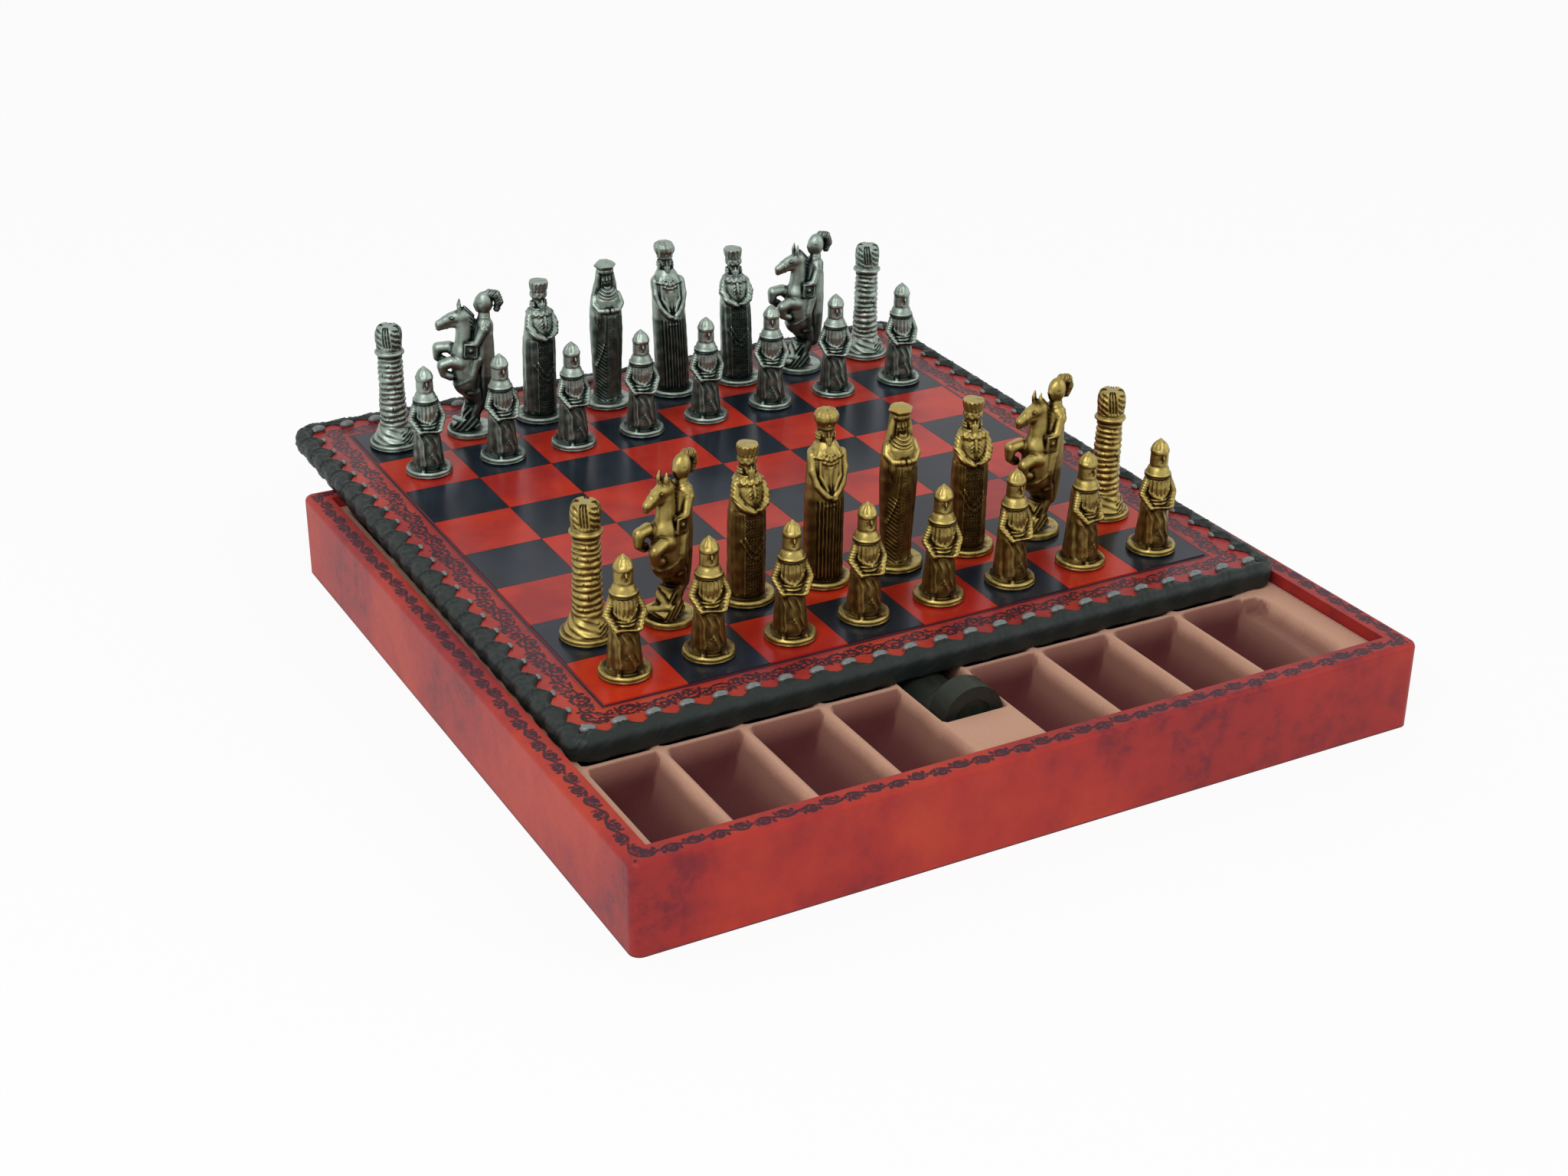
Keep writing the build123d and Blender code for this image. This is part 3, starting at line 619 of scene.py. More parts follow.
def ring_faces(rows, columns):
    """Faces of a grid that closes on itself both ways."""
    number = np.arange(rows * columns).reshape(rows, columns)
    after = np.roll(number, -1, axis=0)
    quads = np.stack([number, after, np.roll(after, -1, axis=1), np.roll(number, -1, axis=1)], axis=-1)
    return quads.reshape(-1, 4)


lace_columns, lace_rows = ((1240, 38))
band = laced_edge(lace_columns, lace_rows)
band_points = on_board(band.reshape(3, -1).T)
lacing = mesh_from("lacing", band_points, ring_faces(2 * lace_rows, lace_columns))
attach(lacing, "board")
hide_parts("edge_lacing", "edge_binding")
paint(black_leather.material, lacing)
print("lacing:", len(band_points), "points")


# %% The thong's bends at the holes
def thong_bends():
    """A flattened half egg at each hole: 14 turns and 5 rings of points, 0.55 of the size at the sides."""
    outer, inner, phase, edge = [part[..., ::16] for part in edge_path(4 * stitches * 16)]
    size = np.where(edge % 2 == 0, 1.0, 0.55)
    away = (outer - inner) / np.hypot(*(outer - inner))
    tangent = np.stack([-away[1], away[0]])
    middle = outer - away * 6.3
    turn = np.linspace(0, tau, 14, endpoint=False)
    rise = np.array([-0.3, 0.15, 0.55, 0.95, 1.35])
    along = 2.8 * np.cos(rise)[:, None] * np.cos(turn)
    across = 1.6 * np.cos(rise)[:, None] * np.sin(turn)
    up = 8.0 + 1.5 * np.sin(rise)[:, None] + 0 * turn
    shape = np.stack([along, across, up])
    spread = size[:, None, None] * shape[:2, None]
    place = (
        middle[:, :, None, None] + tangent[:, :, None, None] * spread[0]
        + away[:, :, None, None] * spread[1]
    )
    height = 8 + size[:, None, None] * (shape[2] - 8)
    return np.stack([place[0], place[1], height])


bends = thong_bends()
count, rings, turns = bends.shape[1:]
number = np.arange(count * rings * turns).reshape(count, rings, turns)
beside = np.roll(number, -1, axis=2)
bend_quads = np.stack([number[:, :-1], beside[:, :-1], beside[:, 1:], number[:, 1:]], axis=-1)
bend_quads = bend_quads.reshape(-1, 4)
tops = bends[:, :, -1].mean(axis=2) + np.array([0, 0, 0.03])[:, None]
bases = bends[:, :, 0].mean(axis=2)
top_number = count * rings * turns + np.arange(count)[:, None] + 0 * number[:, 0]
base_number = top_number + count
bend_triangles = np.concatenate(
    [
        np.stack([number[:, -1], beside[:, -1], top_number], axis=-1).reshape(-1, 3),
        np.stack([beside[:, 0], number[:, 0], base_number], axis=-1).reshape(-1, 3),
    ]
)
bend_points = np.concatenate([bends.reshape(3, -1).T, tops.T, bases.T])
bend_piece = mesh_from("lacing_bends", on_board(bend_points), bend_quads, bend_triangles)
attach(bend_piece, "board")
# Painted highlight: the thong's bends get a pale grey leather colour that stands in for the gloss they
# catch.
worn_leather = Graph("worn_leather", Roughness=0.33, Specular_IOR_Level=0.6)
where, _ = worn_leather.place()
rub = worn_leather.noise(where, 700, 4)
worn_leather.set("Base Color", worn_leather.mix(rub, (0.07, 0.085, 0.085), (0.24, 0.26, 0.25)))
worn_leather.bump(rub, 0.1 * mm, 0.4)
paint(worn_leather.material, bend_piece)
print("bends at the holes:", count)

# %% [markdown]
# The men are small castings: robes, folds, beards and beads that run into each other. Modelling
# them by pulling vertices would take days. Here each man is a formula instead: a function that
# tells, for any point, how far it is from the man's surface, less than nothing inside. Simple
# shapes have simple distances, two shapes join by taking the nearer one, and a pattern such as
# pleats is just added to the distance.


# %% Distances to simple shapes
def mixed(share, first, second):
    """first where share is 0, second where it is 1, and between in proportion."""
    return first + (second - first) * share


def window(value, low, high, soft=0.4):
    """1 from low to high and 0 outside, with soft ends."""
    return fade(value, low - soft, low + soft) * (1 - fade(value, high - soft, high + soft))


def limb(at, points, radii):
    """Distance to a tapered limb: that to the nearest of its straight runs, less the radius there."""
    nearest = np.full(at.shape[1:], 1e3)
    for start, end, start_radius, end_radius in zip(points, points[1:], radii, radii[1:]):
        offset = [at[n] - start[n] for n in range(3)]
        run = [end[n] - start[n] for n in range(3)]
        share = sum(o * r for o, r in zip(offset, run)) / sum(r * r for r in run)
        share = np.clip(share, 0, 1)
        gap = np.sqrt(sum((o - share * r) ** 2 for o, r in zip(offset, run)))
        nearest = np.minimum(nearest, gap - mixed(share, start_radius, end_radius))
    return nearest


def egg(at, centre, radii):
    """Distance to an ellipsoid, nearly: its scaled radius less 1, brought back to millimetres."""
    scaled = [(at[n] - centre[n]) / radii[n] for n in range(3)]
    level = np.sqrt(sum(s * s for s in scaled)) + 1e-9
    slope = np.sqrt(sum((s / r) ** 2 for s, r in zip(scaled, radii))) + 1e-9
    return level * (level - 1) / slope


def slab(at, centre, half, lean=0.0, soft=0.3):
    """Distance to a box with rounded edges, leaning in the plane of x and z by lean radians."""
    x, y, z = [at[n] - centre[n] for n in range(3)]
    x, z = x * cos(lean) + z * sin(lean), z * cos(lean) - x * sin(lean)
    over = [np.abs(value) - h + soft for value, h in zip((x, y, z), half)]
    outside = np.sqrt(sum(np.maximum(o, 0) ** 2 for o in over))
    return outside + np.minimum(np.maximum(np.maximum(over[0], over[1]), over[2]), 0) - soft


def turned(at, outline):
    """Distance to a solid turned on the upright axis from (radius, height) points, lowest first."""
    corners = [(0, outline[0][1]), *outline, (0, outline[-1][1])]
    radius = np.hypot(at[0], at[1])
    height = at[2]
    nearest = np.full(radius.shape, 1e3)
    inside = np.zeros(radius.shape, bool)
    for (r0, z0), (r1, z1) in zip(corners, corners[1:]):
        run = (r1 - r0) ** 2 + (z1 - z0) ** 2
        share = np.clip(((radius - r0) * (r1 - r0) + (height - z0) * (z1 - z0)) / run, 0, 1)
        gap = np.hypot(radius - r0 - share * (r1 - r0), height - z0 - share * (z1 - z0))
        nearest = np.minimum(nearest, gap)
        if z1 != z0:
            passed = (z0 > height) != (z1 > height)
            inside ^= passed & (radius < r0 + (r1 - r0) * (height - z0) / (z1 - z0))
    return np.where(inside, -nearest, nearest)


def joined(soft, first, *others):
    """The nearest of several surfaces, with a fillet of about the size soft where two meet."""
    for other in others:
        share = np.clip(0.5 + (other - first) / (2 * soft), 0, 1)
        first = mixed(share, other, first) - soft * share * (1 - share)
    return first


def carved(solid, tool, soft=0.2):
    """A solid with a tool's shape taken out of it, the edges softened."""
    return -joined(soft, -solid, tool)


def ridge(across, up, points, width):
    """1 on a line drawn on the front through (across, up) points, falling off as a bell."""
    nearest = np.full(np.shape(across), 1e3)
    for (x0, z0), (x1, z1) in zip(points, points[1:]):
        run = (x1 - x0) ** 2 + (z1 - z0) ** 2
        share = np.clip(((across - x0) * (x1 - x0) + (up - z0) * (z1 - z0)) / run, 0, 1)
        nearest = np.minimum(
            nearest, np.hypot(across - x0 - share * (x1 - x0), up - z0 - share * (z1 - z0))
        )
    return bell(nearest, width)


def both_sides(at):
    """The point folded to the figure's right-hand side, so that one limb makes a pair."""
    return np.stack([np.abs(at[0]), at[1], at[2]])


def around(at):
    """The angle round the upright axis, 0 at the front."""
    return np.arctan2(at[0], -at[1])


def measures(at, edge=0.1):
    """x, y, z, the angle round the axis, its cosine, 1 on the front of a robe, and the folded point."""
    angle = around(at)
    front = np.cos(angle)
    return *at, angle, front, fade(front, edge, 0.5), both_sides(at)


def uneven(at, size):
    """The slight unevenness of a hand-made pattern: three crossed sine waves of about a size."""
    x, y, z = [value / size for value in at]
    return (np.sin(x + 1.7 * y + 0.6 * z) + np.sin(1.3 * z - x + 2.0) + np.sin(1.9 * y + 0.8 * z + 4.0)) / 3


print("sculpting helpers ready")

# %% [markdown]
# A robed man is like a vase: from every side, a ray aimed at his axis meets his skin once. So his
# mesh is a grid of rays, with a turn and a row for each. A ray starts far out and steps inwards by
# the distance that the formula gives, until that is nothing. The rays look slightly down, so that
# shoulders, brims and the dish of the foot are met squarely. The rearing horse is no vase, so its
# skin is found on a cubic grid instead, one point to each cell that the surface crosses.


# %% From a formula to a mesh
def skin_by_rays(form, crown, foot_radius, columns, rows):
    """Points of a robed man: centre(row) + reach(row, column) * direction(row, column).

    The direction's rise goes from straight up to 25 degrees over the crown and stays there. The
    centre slides down the axis, and the reach solves form = 0 by stepping in with the distance.
    """
    steep = radians(25)
    crown_rows = rows // 7
    lap = np.arange(columns) / columns * tau
    turn = lap - 0.3 * np.sin(lap)
    rise = np.full(rows, steep)
    rise[:crown_rows] = np.linspace(radians(87), steep, crown_rows, endpoint=False)
    level = np.full(rows, float(crown))
    level[crown_rows:] = np.linspace(crown, -(foot_radius - 0.5) * tan(steep), rows - crown_rows)
    direction = np.stack(
        [
            np.sin(turn)[None, :] * np.cos(rise)[:, None],
            -np.cos(turn)[None, :] * np.cos(rise)[:, None],
            np.sin(rise)[:, None] + 0 * turn[None, :],
        ]
    )
    centre = np.zeros_like(direction)
    centre[2] = level[:, None]
    outside_all, steps, caution, least_reach = 21.0, 90, 0.7, 0.02
    reach = np.full((rows, columns), outside_all)
    for _ in range(steps):
        reach = np.maximum(reach - caution * form(centre + direction * reach), least_reach)
    grid = centre + direction * reach
    bottom = grid[:, -1:] * 1.0
    flat = (foot_radius - 0.5) / np.maximum(np.hypot(bottom[0], bottom[1]), 0.1)
    bottom[:2] *= flat
    bottom[2] = 0
    grid[2] = np.maximum(grid[2], 0.02)
    grid = np.concatenate([grid, bottom], axis=1)
    rows += 1
    top = grid[:, 0].mean(axis=1)
    points = np.concatenate([grid.reshape(3, -1).T, [top, (0, 0, 0)]])
    number = np.arange(rows * columns).reshape(rows, columns)
    beside = np.roll(number, -1, axis=1)
    quads = np.stack([number[1:], beside[1:], beside[:-1], number[:-1]], axis=-1).reshape(-1, 4)
    cap = np.stack([number[0], beside[0], np.full(columns, rows * columns)], axis=-1)
    floor = np.stack([beside[-1], number[-1], np.full(columns, rows * columns + 1)], axis=-1)
    return points, quads, np.concatenate([cap, floor])


def skin_by_cells(form, low, high, step):
    """Points and quads on a cubic grid: the mean of a cell's edge crossings, joined across each
    grid edge whose two ends lie on different sides of the surface."""
    axes = [np.arange(a, b + step, step) for a, b in zip(low, high)]
    at = np.stack(np.meshgrid(*axes, indexing="ij"))
    value = form(at)
    inside = value < 0
    cells = tuple(n - 1 for n in value.shape)
    total = np.zeros((3, *cells))
    count = np.zeros(cells)
    for axis in range(3):
        others = [n for n in range(3) if n != axis]
        for first in (0, 1):
            for second in (0, 1):
                near = [slice(0, n) for n in cells]
                near[others[0]] = slice(first, first + cells[others[0]])
                near[others[1]] = slice(second, second + cells[others[1]])
                far = list(near)
                far[axis] = slice(1, 1 + cells[axis])
                a, b = value[tuple(near)], value[tuple(far)]
                crossed = (a < 0) != (b < 0)
                share = np.where(crossed, a / np.where(crossed, a - b, 1), 0)
                count += crossed
                total[axis] += share * crossed
                total[others[0]] += first * crossed
                total[others[1]] += second * crossed
    used = count > 0
    number = np.full(cells, -1)
    number[used] = np.arange(used.sum())
    origin = np.stack(np.meshgrid(*[a[:-1] for a in axes], indexing="ij"))
    points = (origin + step * total / np.maximum(count, 1))[:, used].T
    quads = []
    for axis in range(3):
        b, c = (axis + 1) % 3, (axis + 2) % 3
        near = [slice(1, -1)] * 3
        near[axis] = slice(0, -1)
        far = list(near)
        far[axis] = slice(1, None)
        leaving = inside[tuple(near)] & ~inside[tuple(far)]
        entering = ~inside[tuple(near)] & inside[tuple(far)]
        for crossed, order in ((leaving, 1), (entering, -1)):
            cell = np.argwhere(crossed)
            cell[:, [b, c]] += 1
            ring = []
            for db, dc in ((-1, -1), (0, -1), (0, 0), (-1, 0))[::order]:
                spot = cell.copy()
                spot[:, b] += db
                spot[:, c] += dc
                ring.append(number[tuple(spot.T)])
            quads.append(np.stack(ring, axis=-1))
    return points, np.concatenate(quads), np.zeros((0, 3), int)


def hollows(form, points, waist, reach=0.7):
    """How deep each point lies in a recess, 0 to 1: a step out along the normal gains less room there.

    A short step finds the pleats and a long one the neck and the arms; that depth is for the patina.
    The gown below the waist, its front the most, counts as deeper too, which is painted shade.
    """
    at = points.T
    normal = []
    for axis in range(3):
        nudge = np.zeros((3, 1))
        nudge[axis] = 0.08
        normal.append(form(at + nudge) - form(at - nudge))
    normal = np.stack(normal)
    normal /= np.sqrt((normal**2).sum(axis=0)) + 1e-9
    near_depth = 1 - form(at + normal * reach) / reach
    far_depth = 1 - form(at + normal * 3 * reach) / (3 * reach)
    # Painted shade: the lower gown, its front the most, is counted deeper so that it is painted darker.
    lower_gown_shade = (1 - fade(at[2], waist - 1.5, waist)) * fade(at[2], 2.6, 3.4) * (0.6 + 0.4 * fade(-at[1], 0, 3))
    return np.clip(0.65 * near_depth + 0.45 * far_depth + 0.3 * lower_gown_shade, 0, 1)


# %% [markdown]
# Every man stands on the same kind of foot, a stepped ring round a shallow dish, and the faces are
# all of one plain, calm make: a brow, a straight nose, closed lips and a chin, at the proportions
# that drawing books give. The faces are kept small and quiet, as they are on castings of this size.


# %% Foot and face
def foot(at, radius):
    """The stepped ring with a dish inside it."""
    outline = [
        (radius - 0.5, 0),
        (radius, 0.35),
        (radius, 0.95),
        (radius - 0.3, 1.2),
        (radius - 0.15, 1.45),
        (radius - 0.2, 2.0),
        (radius - 0.7, 2.45),
        (radius - 1.3, 2.45),
        (radius - 2.0, 2.1),
    ]
    return turned(at, outline) + 0.06 * uneven(at, 2.1)


def head(at, chin, crown, wide):
    """A head between the heights of chin and crown: a skull, brow, nose, lips and jaw in proportion."""
    tall = crown - chin
    pair = both_sides(at)
    skull = egg(at, (0, 0, chin + 0.55 * tall), (wide, wide * 1.06, 0.56 * tall))
    jaw = egg(at, (0, -0.35 * wide, chin + 0.26 * tall), (0.72 * wide, 0.68 * wide, 0.3 * tall))
    front = -1.02 * wide
    nose = limb(
        at, [(0, front, chin + 0.66 * tall), (0, front - 0.2 * wide, chin + 0.43 * tall)], [0.22, 0.34]
    )
    brow = limb(
        pair, [(0.15, front, chin + 0.7 * tall), (0.62 * wide, front * 0.8, chin + 0.69 * tall)],
        [0.26, 0.2],
    )
    cheek = egg(pair, (0.5 * wide, front * 0.72, chin + 0.42 * tall), (0.62, 0.5, 0.6))
    eye = egg(pair, (0.38 * wide, front * 0.9, chin + 0.58 * tall), (0.42, 0.4, 0.26))
    socket = egg(pair, (0.4 * wide, front * 1.08, chin + 0.58 * tall), (0.62, 0.5, 0.42))
    lips = limb(
        pair, [(0, front * 0.98, chin + 0.27 * tall), (0.3 * wide, front * 0.9, chin + 0.27 * tall)],
        [0.26, 0.2],
    )
    mouth = limb(
        pair, [(0, front * 1.12, chin + 0.27 * tall), (0.34 * wide, front, chin + 0.275 * tall)],
        [0.1, 0.08],
    )
    face = carved(joined(0.35, skull, jaw, cheek), socket, 0.25)
    return carved(joined(0.12, face, nose, brow, eye, lips), mouth, 0.08)


# %% [markdown]
# The pawn is a foot soldier: a pointed helmet over a coif, a ringed mantle, a pleated shirt, arms
# bent with the hands on a bar, a sash in a V, and a long robe with an apron before a heavy cloak.


# %% Pawn
def pawn(at):
    """Distance to the foot soldier, 40.9 mm tall."""
    x, y, z, angle, front, on_front, pair = measures(at)
    robe = turned(
        at, [(5.9, 2.0), (5.5, 3.4), (5.1, 8), (4.7, 13), (4.2, 17.4), (4.05, 20), (4.25, 24), (3.9, 27)]
    )
    pleats = 0.17 * np.cos(angle * 17) * window(z, 21.6, 26.8) * fade(front, 0.1, 0.5)
    waist = 0.2 * wave(z - 18.2, 1.25) * window(z, 17.6, 20.2, 0.3) * fade(front, 0.2, 0.6)
    drape = 0.2 * np.cos(angle * 9 + 0.25 * z) * window(z, 3.5, 16) * (1 - fade(front, 0.35, 0.7))
    apron = window(x, -4.1, 3.6, 0.2) * window(z, 2.8, 16.4, 0.3) * fade(front, 0.1, 0.4)
    falls = [
        [(-3.4, 16), (-2.6, 9), (-3.0, 3)], [(-1.6, 16), (-0.2, 9.5), (1.8, 3.4)],
        [(0.8, 16), (2.2, 10), (3.2, 6)],
    ]
    fold = sum(ridge(x + 0.25 * np.sin(z * 0.9), z, line, 0.5) for line in falls)
    badge = ridge(x, z, [(-0.9, 7.4), (0, 8.6), (0.8, 7.2), (-0.9, 7.4)], 0.22)
    sash = ridge(x, z, [(-4.2, 22.8), (-2.6, 20.9), (0.2, 19.9)], 0.55) * (1 + 0.3 * wave(x, 0.9))
    strap = ridge(x, z, [(0.2, 19.9), (1.8, 21.2), (3.6, 23.8)], 0.3)
    robe = robe - pleats - waist - drape - 0.15 * apron - (0.4 * fold + 0.25 * badge) * apron
    robe -= (0.42 * sash + 0.3 * strap) * on_front
    cloak = limb(at, [(0, 1.6, 24.5), (0, 1.5, 14), (0, 1.4, 3.4)], [3.6, 4.3, 5.2])
    cloak += 0.16 * np.cos(angle * 8 + 0.5)
    arms = limb(pair, [(3.7, 0.0, 26.4), (5.9, -1.0, 21.4), (3.8, -4.5, 17.6)], [1.4, 1.15, 0.9])
    arms += 0.07 * np.cos(z * tau / 0.9 + x)
    hands = egg(pair, (3.5, -5.0, 17.4), (1.0, 0.8, 0.75))
    bar = limb(at, [(-3.6, -5.4, 17.9), (3.6, -5.4, 17.0)], [0.42, 0.42])
    shoes = limb(pair, [(3.0, -4.2, 2.9), (3.7, -5.9, 2.8)], [0.8, 0.7])
    mantle = turned(
        at,
        [
            (3.9, 27.2), (4.75, 27.6), (4.2, 28.05), (4.6, 28.5), (4.05, 28.95), (3.9, 29.4), (3.5, 30.4),
            (3.0, 31.2),
        ],
    )
    coif = turned(at, [(2.9, 30.8), (3.1, 32), (3.0, 34.5), (3.0, 36.6)])
    opening = egg(at, (0, -3.8, 33.9), (2.1, 1.35, 2.4))
    helmet = turned(
        at, [(3.05, 35.9), (3.3, 36.2), (3.1, 37.2), (2.6, 38.3), (1.75, 39.4), (0.85, 40.3), (0.25, 40.9)]
    )
    helmet -= 0.1 * np.cos(angle * 8) * window(z, 37.4, 40) + 0.12 * bell(z - 36.9, 0.18)
    upper = joined(
        0.25, mantle, joined(0.15, carved(coif, opening, 0.25), head(at, 31.3, 38.2, 2.75), helmet)
    )
    lower = joined(0.35, joined(0.5, robe, cloak), arms)
    lower = joined(0.2, lower, hands, bar, shoes)
    return joined(0.3, foot(at, 8.5), joined(0.3, lower, upper)) + 0.08 * uneven(at, 0.9)


# %% [markdown]
# The rook is a round tower of rough stones in uneven courses, on a rock with steps cut in it. Above
# a ring, its drum is battlemented all round and rounded at the top.


# %% Rook
def rook(at):
    """Distance to the tower, 47 mm tall."""
    x, y, z = at
    angle = around(at)
    tower = turned(at, [(5.0, 5), (4.75, 12), (4.45, 24), (4.25, 35.4), (4.4, 36.4)])
    course = z - 8.3 + 0.16 * np.sin(angle * 2 + 0.7 + z * 0.2)
    course = (course + 0.07 * np.sin(angle * 5 + z) + 0.25 * np.sin(z * 0.6)) / 2.12
    row = np.floor(course)
    up = course - row
    swell = np.exp(-(((up - 0.5) / 0.33) ** 4))
    along = angle * 0.95 + np.sin(row * 12.9) * 2.1
    stone = np.abs(np.mod(along * 1.35, 1.0) - 0.5)
    joint = bell(stone - 0.5, 0.05) * np.mod(row, 2)
    courses = window(z, 8.6, 35.3, 0.3)
    tower -= courses * (0.5 * swell - 0.28 * joint * swell - 0.2 + 0.1 * np.sin(angle * 4 + row * 5.3))
    arch = np.hypot(x - 0.6, np.maximum(z - 22.8, 0)) < 0.8
    arch = arch & (z > 21.4) & (y < 0)
    tower += 0.4 * arch
    rock = turned(at, [(8.0, 2.0), (7.9, 3.2), (7.0, 4.6), (6.4, 6.2), (5.4, 7.9), (4.9, 9.2)])
    rock += 0.35 * np.sin(angle * 5 + z * 0.9) * np.sin(z * 1.7 + angle) * window(z, 3, 8.5)
    steps = wave(z * 0.9 - (x - 2) * 0.42, 1.15)
    rock -= 0.28 * steps * window(x, 0.6, 5.6) * window(z, 2.8, 7.2) * fade(-y, 0, 2)
    collar = turned(at, [(4.3, 35.6), (5.2, 36.2), (5.45, 36.8), (5.2, 37.4), (4.3, 38)])
    drum = turned(
        at, [(4.4, 37.6), (4.8, 39.6), (5.05, 42.4), (4.9, 44.8), (4.3, 46.3), (3.4, 47), (1.2, 46.7)]
    )
    local = np.mod(angle + 0.5 + pi / 4, pi / 2) - pi / 4 + 0.02 * (z - 42)
    cuts = sum(bell(local - place, 0.075) for place in (-0.24, -0.02, 0.2)) * window(z, 39.4, 47, 0.5)
    slants = np.maximum(wave(z + 3.2 * local, 2.3), -0.2) * fade(np.abs(local), 0.32, 0.46)
    drum += (0.55 * cuts + 0.45 * slants * window(z, 38.8, 46.2)) * fade(np.hypot(x, y), 1.6, 2.8)
    body = joined(0.3, joined(0.8, tower, rock), collar, drum)
    return joined(0.3, foot(at, 9.4), body) + 0.07 * uneven(at, 1.3)


# %% [markdown]
# Bishop, king and queen share a long gown over a stepped foot. What tells them apart is the dress:
# beads and a flat-topped crown for the bishop, a domed hat, shell collar and pleats for the king, a
# veil, a low six-sided crown and round folds under the chin for the queen.


# %% Bishop
def beads(across, up, pitch, rise):
    """Rows of small round beads, 0 to 1, with a pitch across and a rise between rows."""
    return np.maximum(wave(across, pitch), -0.4) * np.maximum(wave(up, rise), -0.4)


def bishop(at):
    """Distance to the bearded priest, 54.8 mm tall."""
    x, y, z, angle, front, on_front, pair = measures(at, 0.15)
    gown = turned(
        at, [(6.2, 2.0), (6.2, 5), (6.1, 16), (6.1, 28), (5.8, 34), (5.0, 40), (4.1, 43), (3.0, 44.8)]
    )
    panel = window(x, -3.0, 3.0, 0.15) * window(z, 2.8, 33, 0.3) * on_front
    border = ridge(x, z, [(-3.2, 24), (-1.2, 19.8), (0.6, 18.4), (3.6, 22.8)], 0.35)
    second = ridge(x, z, [(-4.4, 23), (-1.6, 17.6), (0.8, 16.2), (4.2, 20.4)], 0.3)
    gown -= (
        panel * (0.1 + 0.42 * beads(x + 0.1 * np.sin(z), z, 1.0, 1.1))
        + 0.35 * (border + second) * on_front
    )
    edges = ridge(np.abs(x), z, [(3.3, 3), (3.3, 32.5)], 0.25) * on_front
    fall = 0.22 * np.cos(angle * 10 + 0.06 * z) * window(z, 3.5, 33) * fade(np.abs(x), 3.2, 4.4)
    gown -= 0.3 * edges + fall
    sleeves = limb(
        pair, [(4.2, -0.6, 41.6), (5.3, -2.2, 38), (4.2, -4.6, 35.2), (1.5, -6.3, 34.0)],
        [1.6, 1.7, 1.5, 1.15],
    )
    sleeves -= 0.1 * wave(z + x, 1.6) * fade(z, 34, 35)
    chest = egg(at, (0, -3.2, 38.4), (2.9, 2.3, 3.6)) - 0.3 * beads(x, z, 1.4, 1.3)
    sash = limb(at, [(0, -4.7, 41.6), (0, -5.7, 38.8), (0, -5.6, 36.4)], [0.6, 0.55, 0.45])
    hands = joined(
        0.2, egg(at, (-0.8, -7.0, 33.7), (1.25, 0.9, 0.8)), egg(at, (0.9, -7.1, 34.3), (1.25, 0.9, 0.75))
    )
    hands += 0.07 * wave(x, 0.6)
    fur = turned(at, [(4.7, 41.6), (4.9, 42.6), (3.6, 44.2)]) - 0.2 * np.cos(angle * 13) * np.cos(z * 2.6)
    beard = limb(at, [(0, -2.2, 45.8), (0, -3.5, 42.6)], [1.5, 0.8]) - 0.1 * wave(x, 0.8)
    hair = egg(pair, (2.5, 0.2, 45.6), (0.9, 1.8, 1.9)) - 0.14 * wave(z, 1.2)
    band = turned(at, [(2.8, 48.4), (3.15, 48.8), (3.15, 50.6), (2.85, 51)])
    band -= 0.18 * np.cos(angle * 9) * window(z, 49, 50.4, 0.3)
    crown = turned(at, [(2.8, 50.8), (3.1, 51.2), (3.55, 54.4), (3.4, 54.8), (2.4, 54.75), (0.4, 54.8)])
    crown -= 0.14 * np.cos(angle * 14) * window(z, 51.5, 54.4, 0.3)
    top = joined(0.15, head(at, 43.9, 50.6, 2.45), beard, hair, band, crown)
    body = joined(0.15, gown, joined(0.12, sleeves, chest, sash), hands, fur)
    return joined(0.3, foot(at, 9.7), joined(0.2, body, top)) + 0.08 * uneven(at, 1.0)


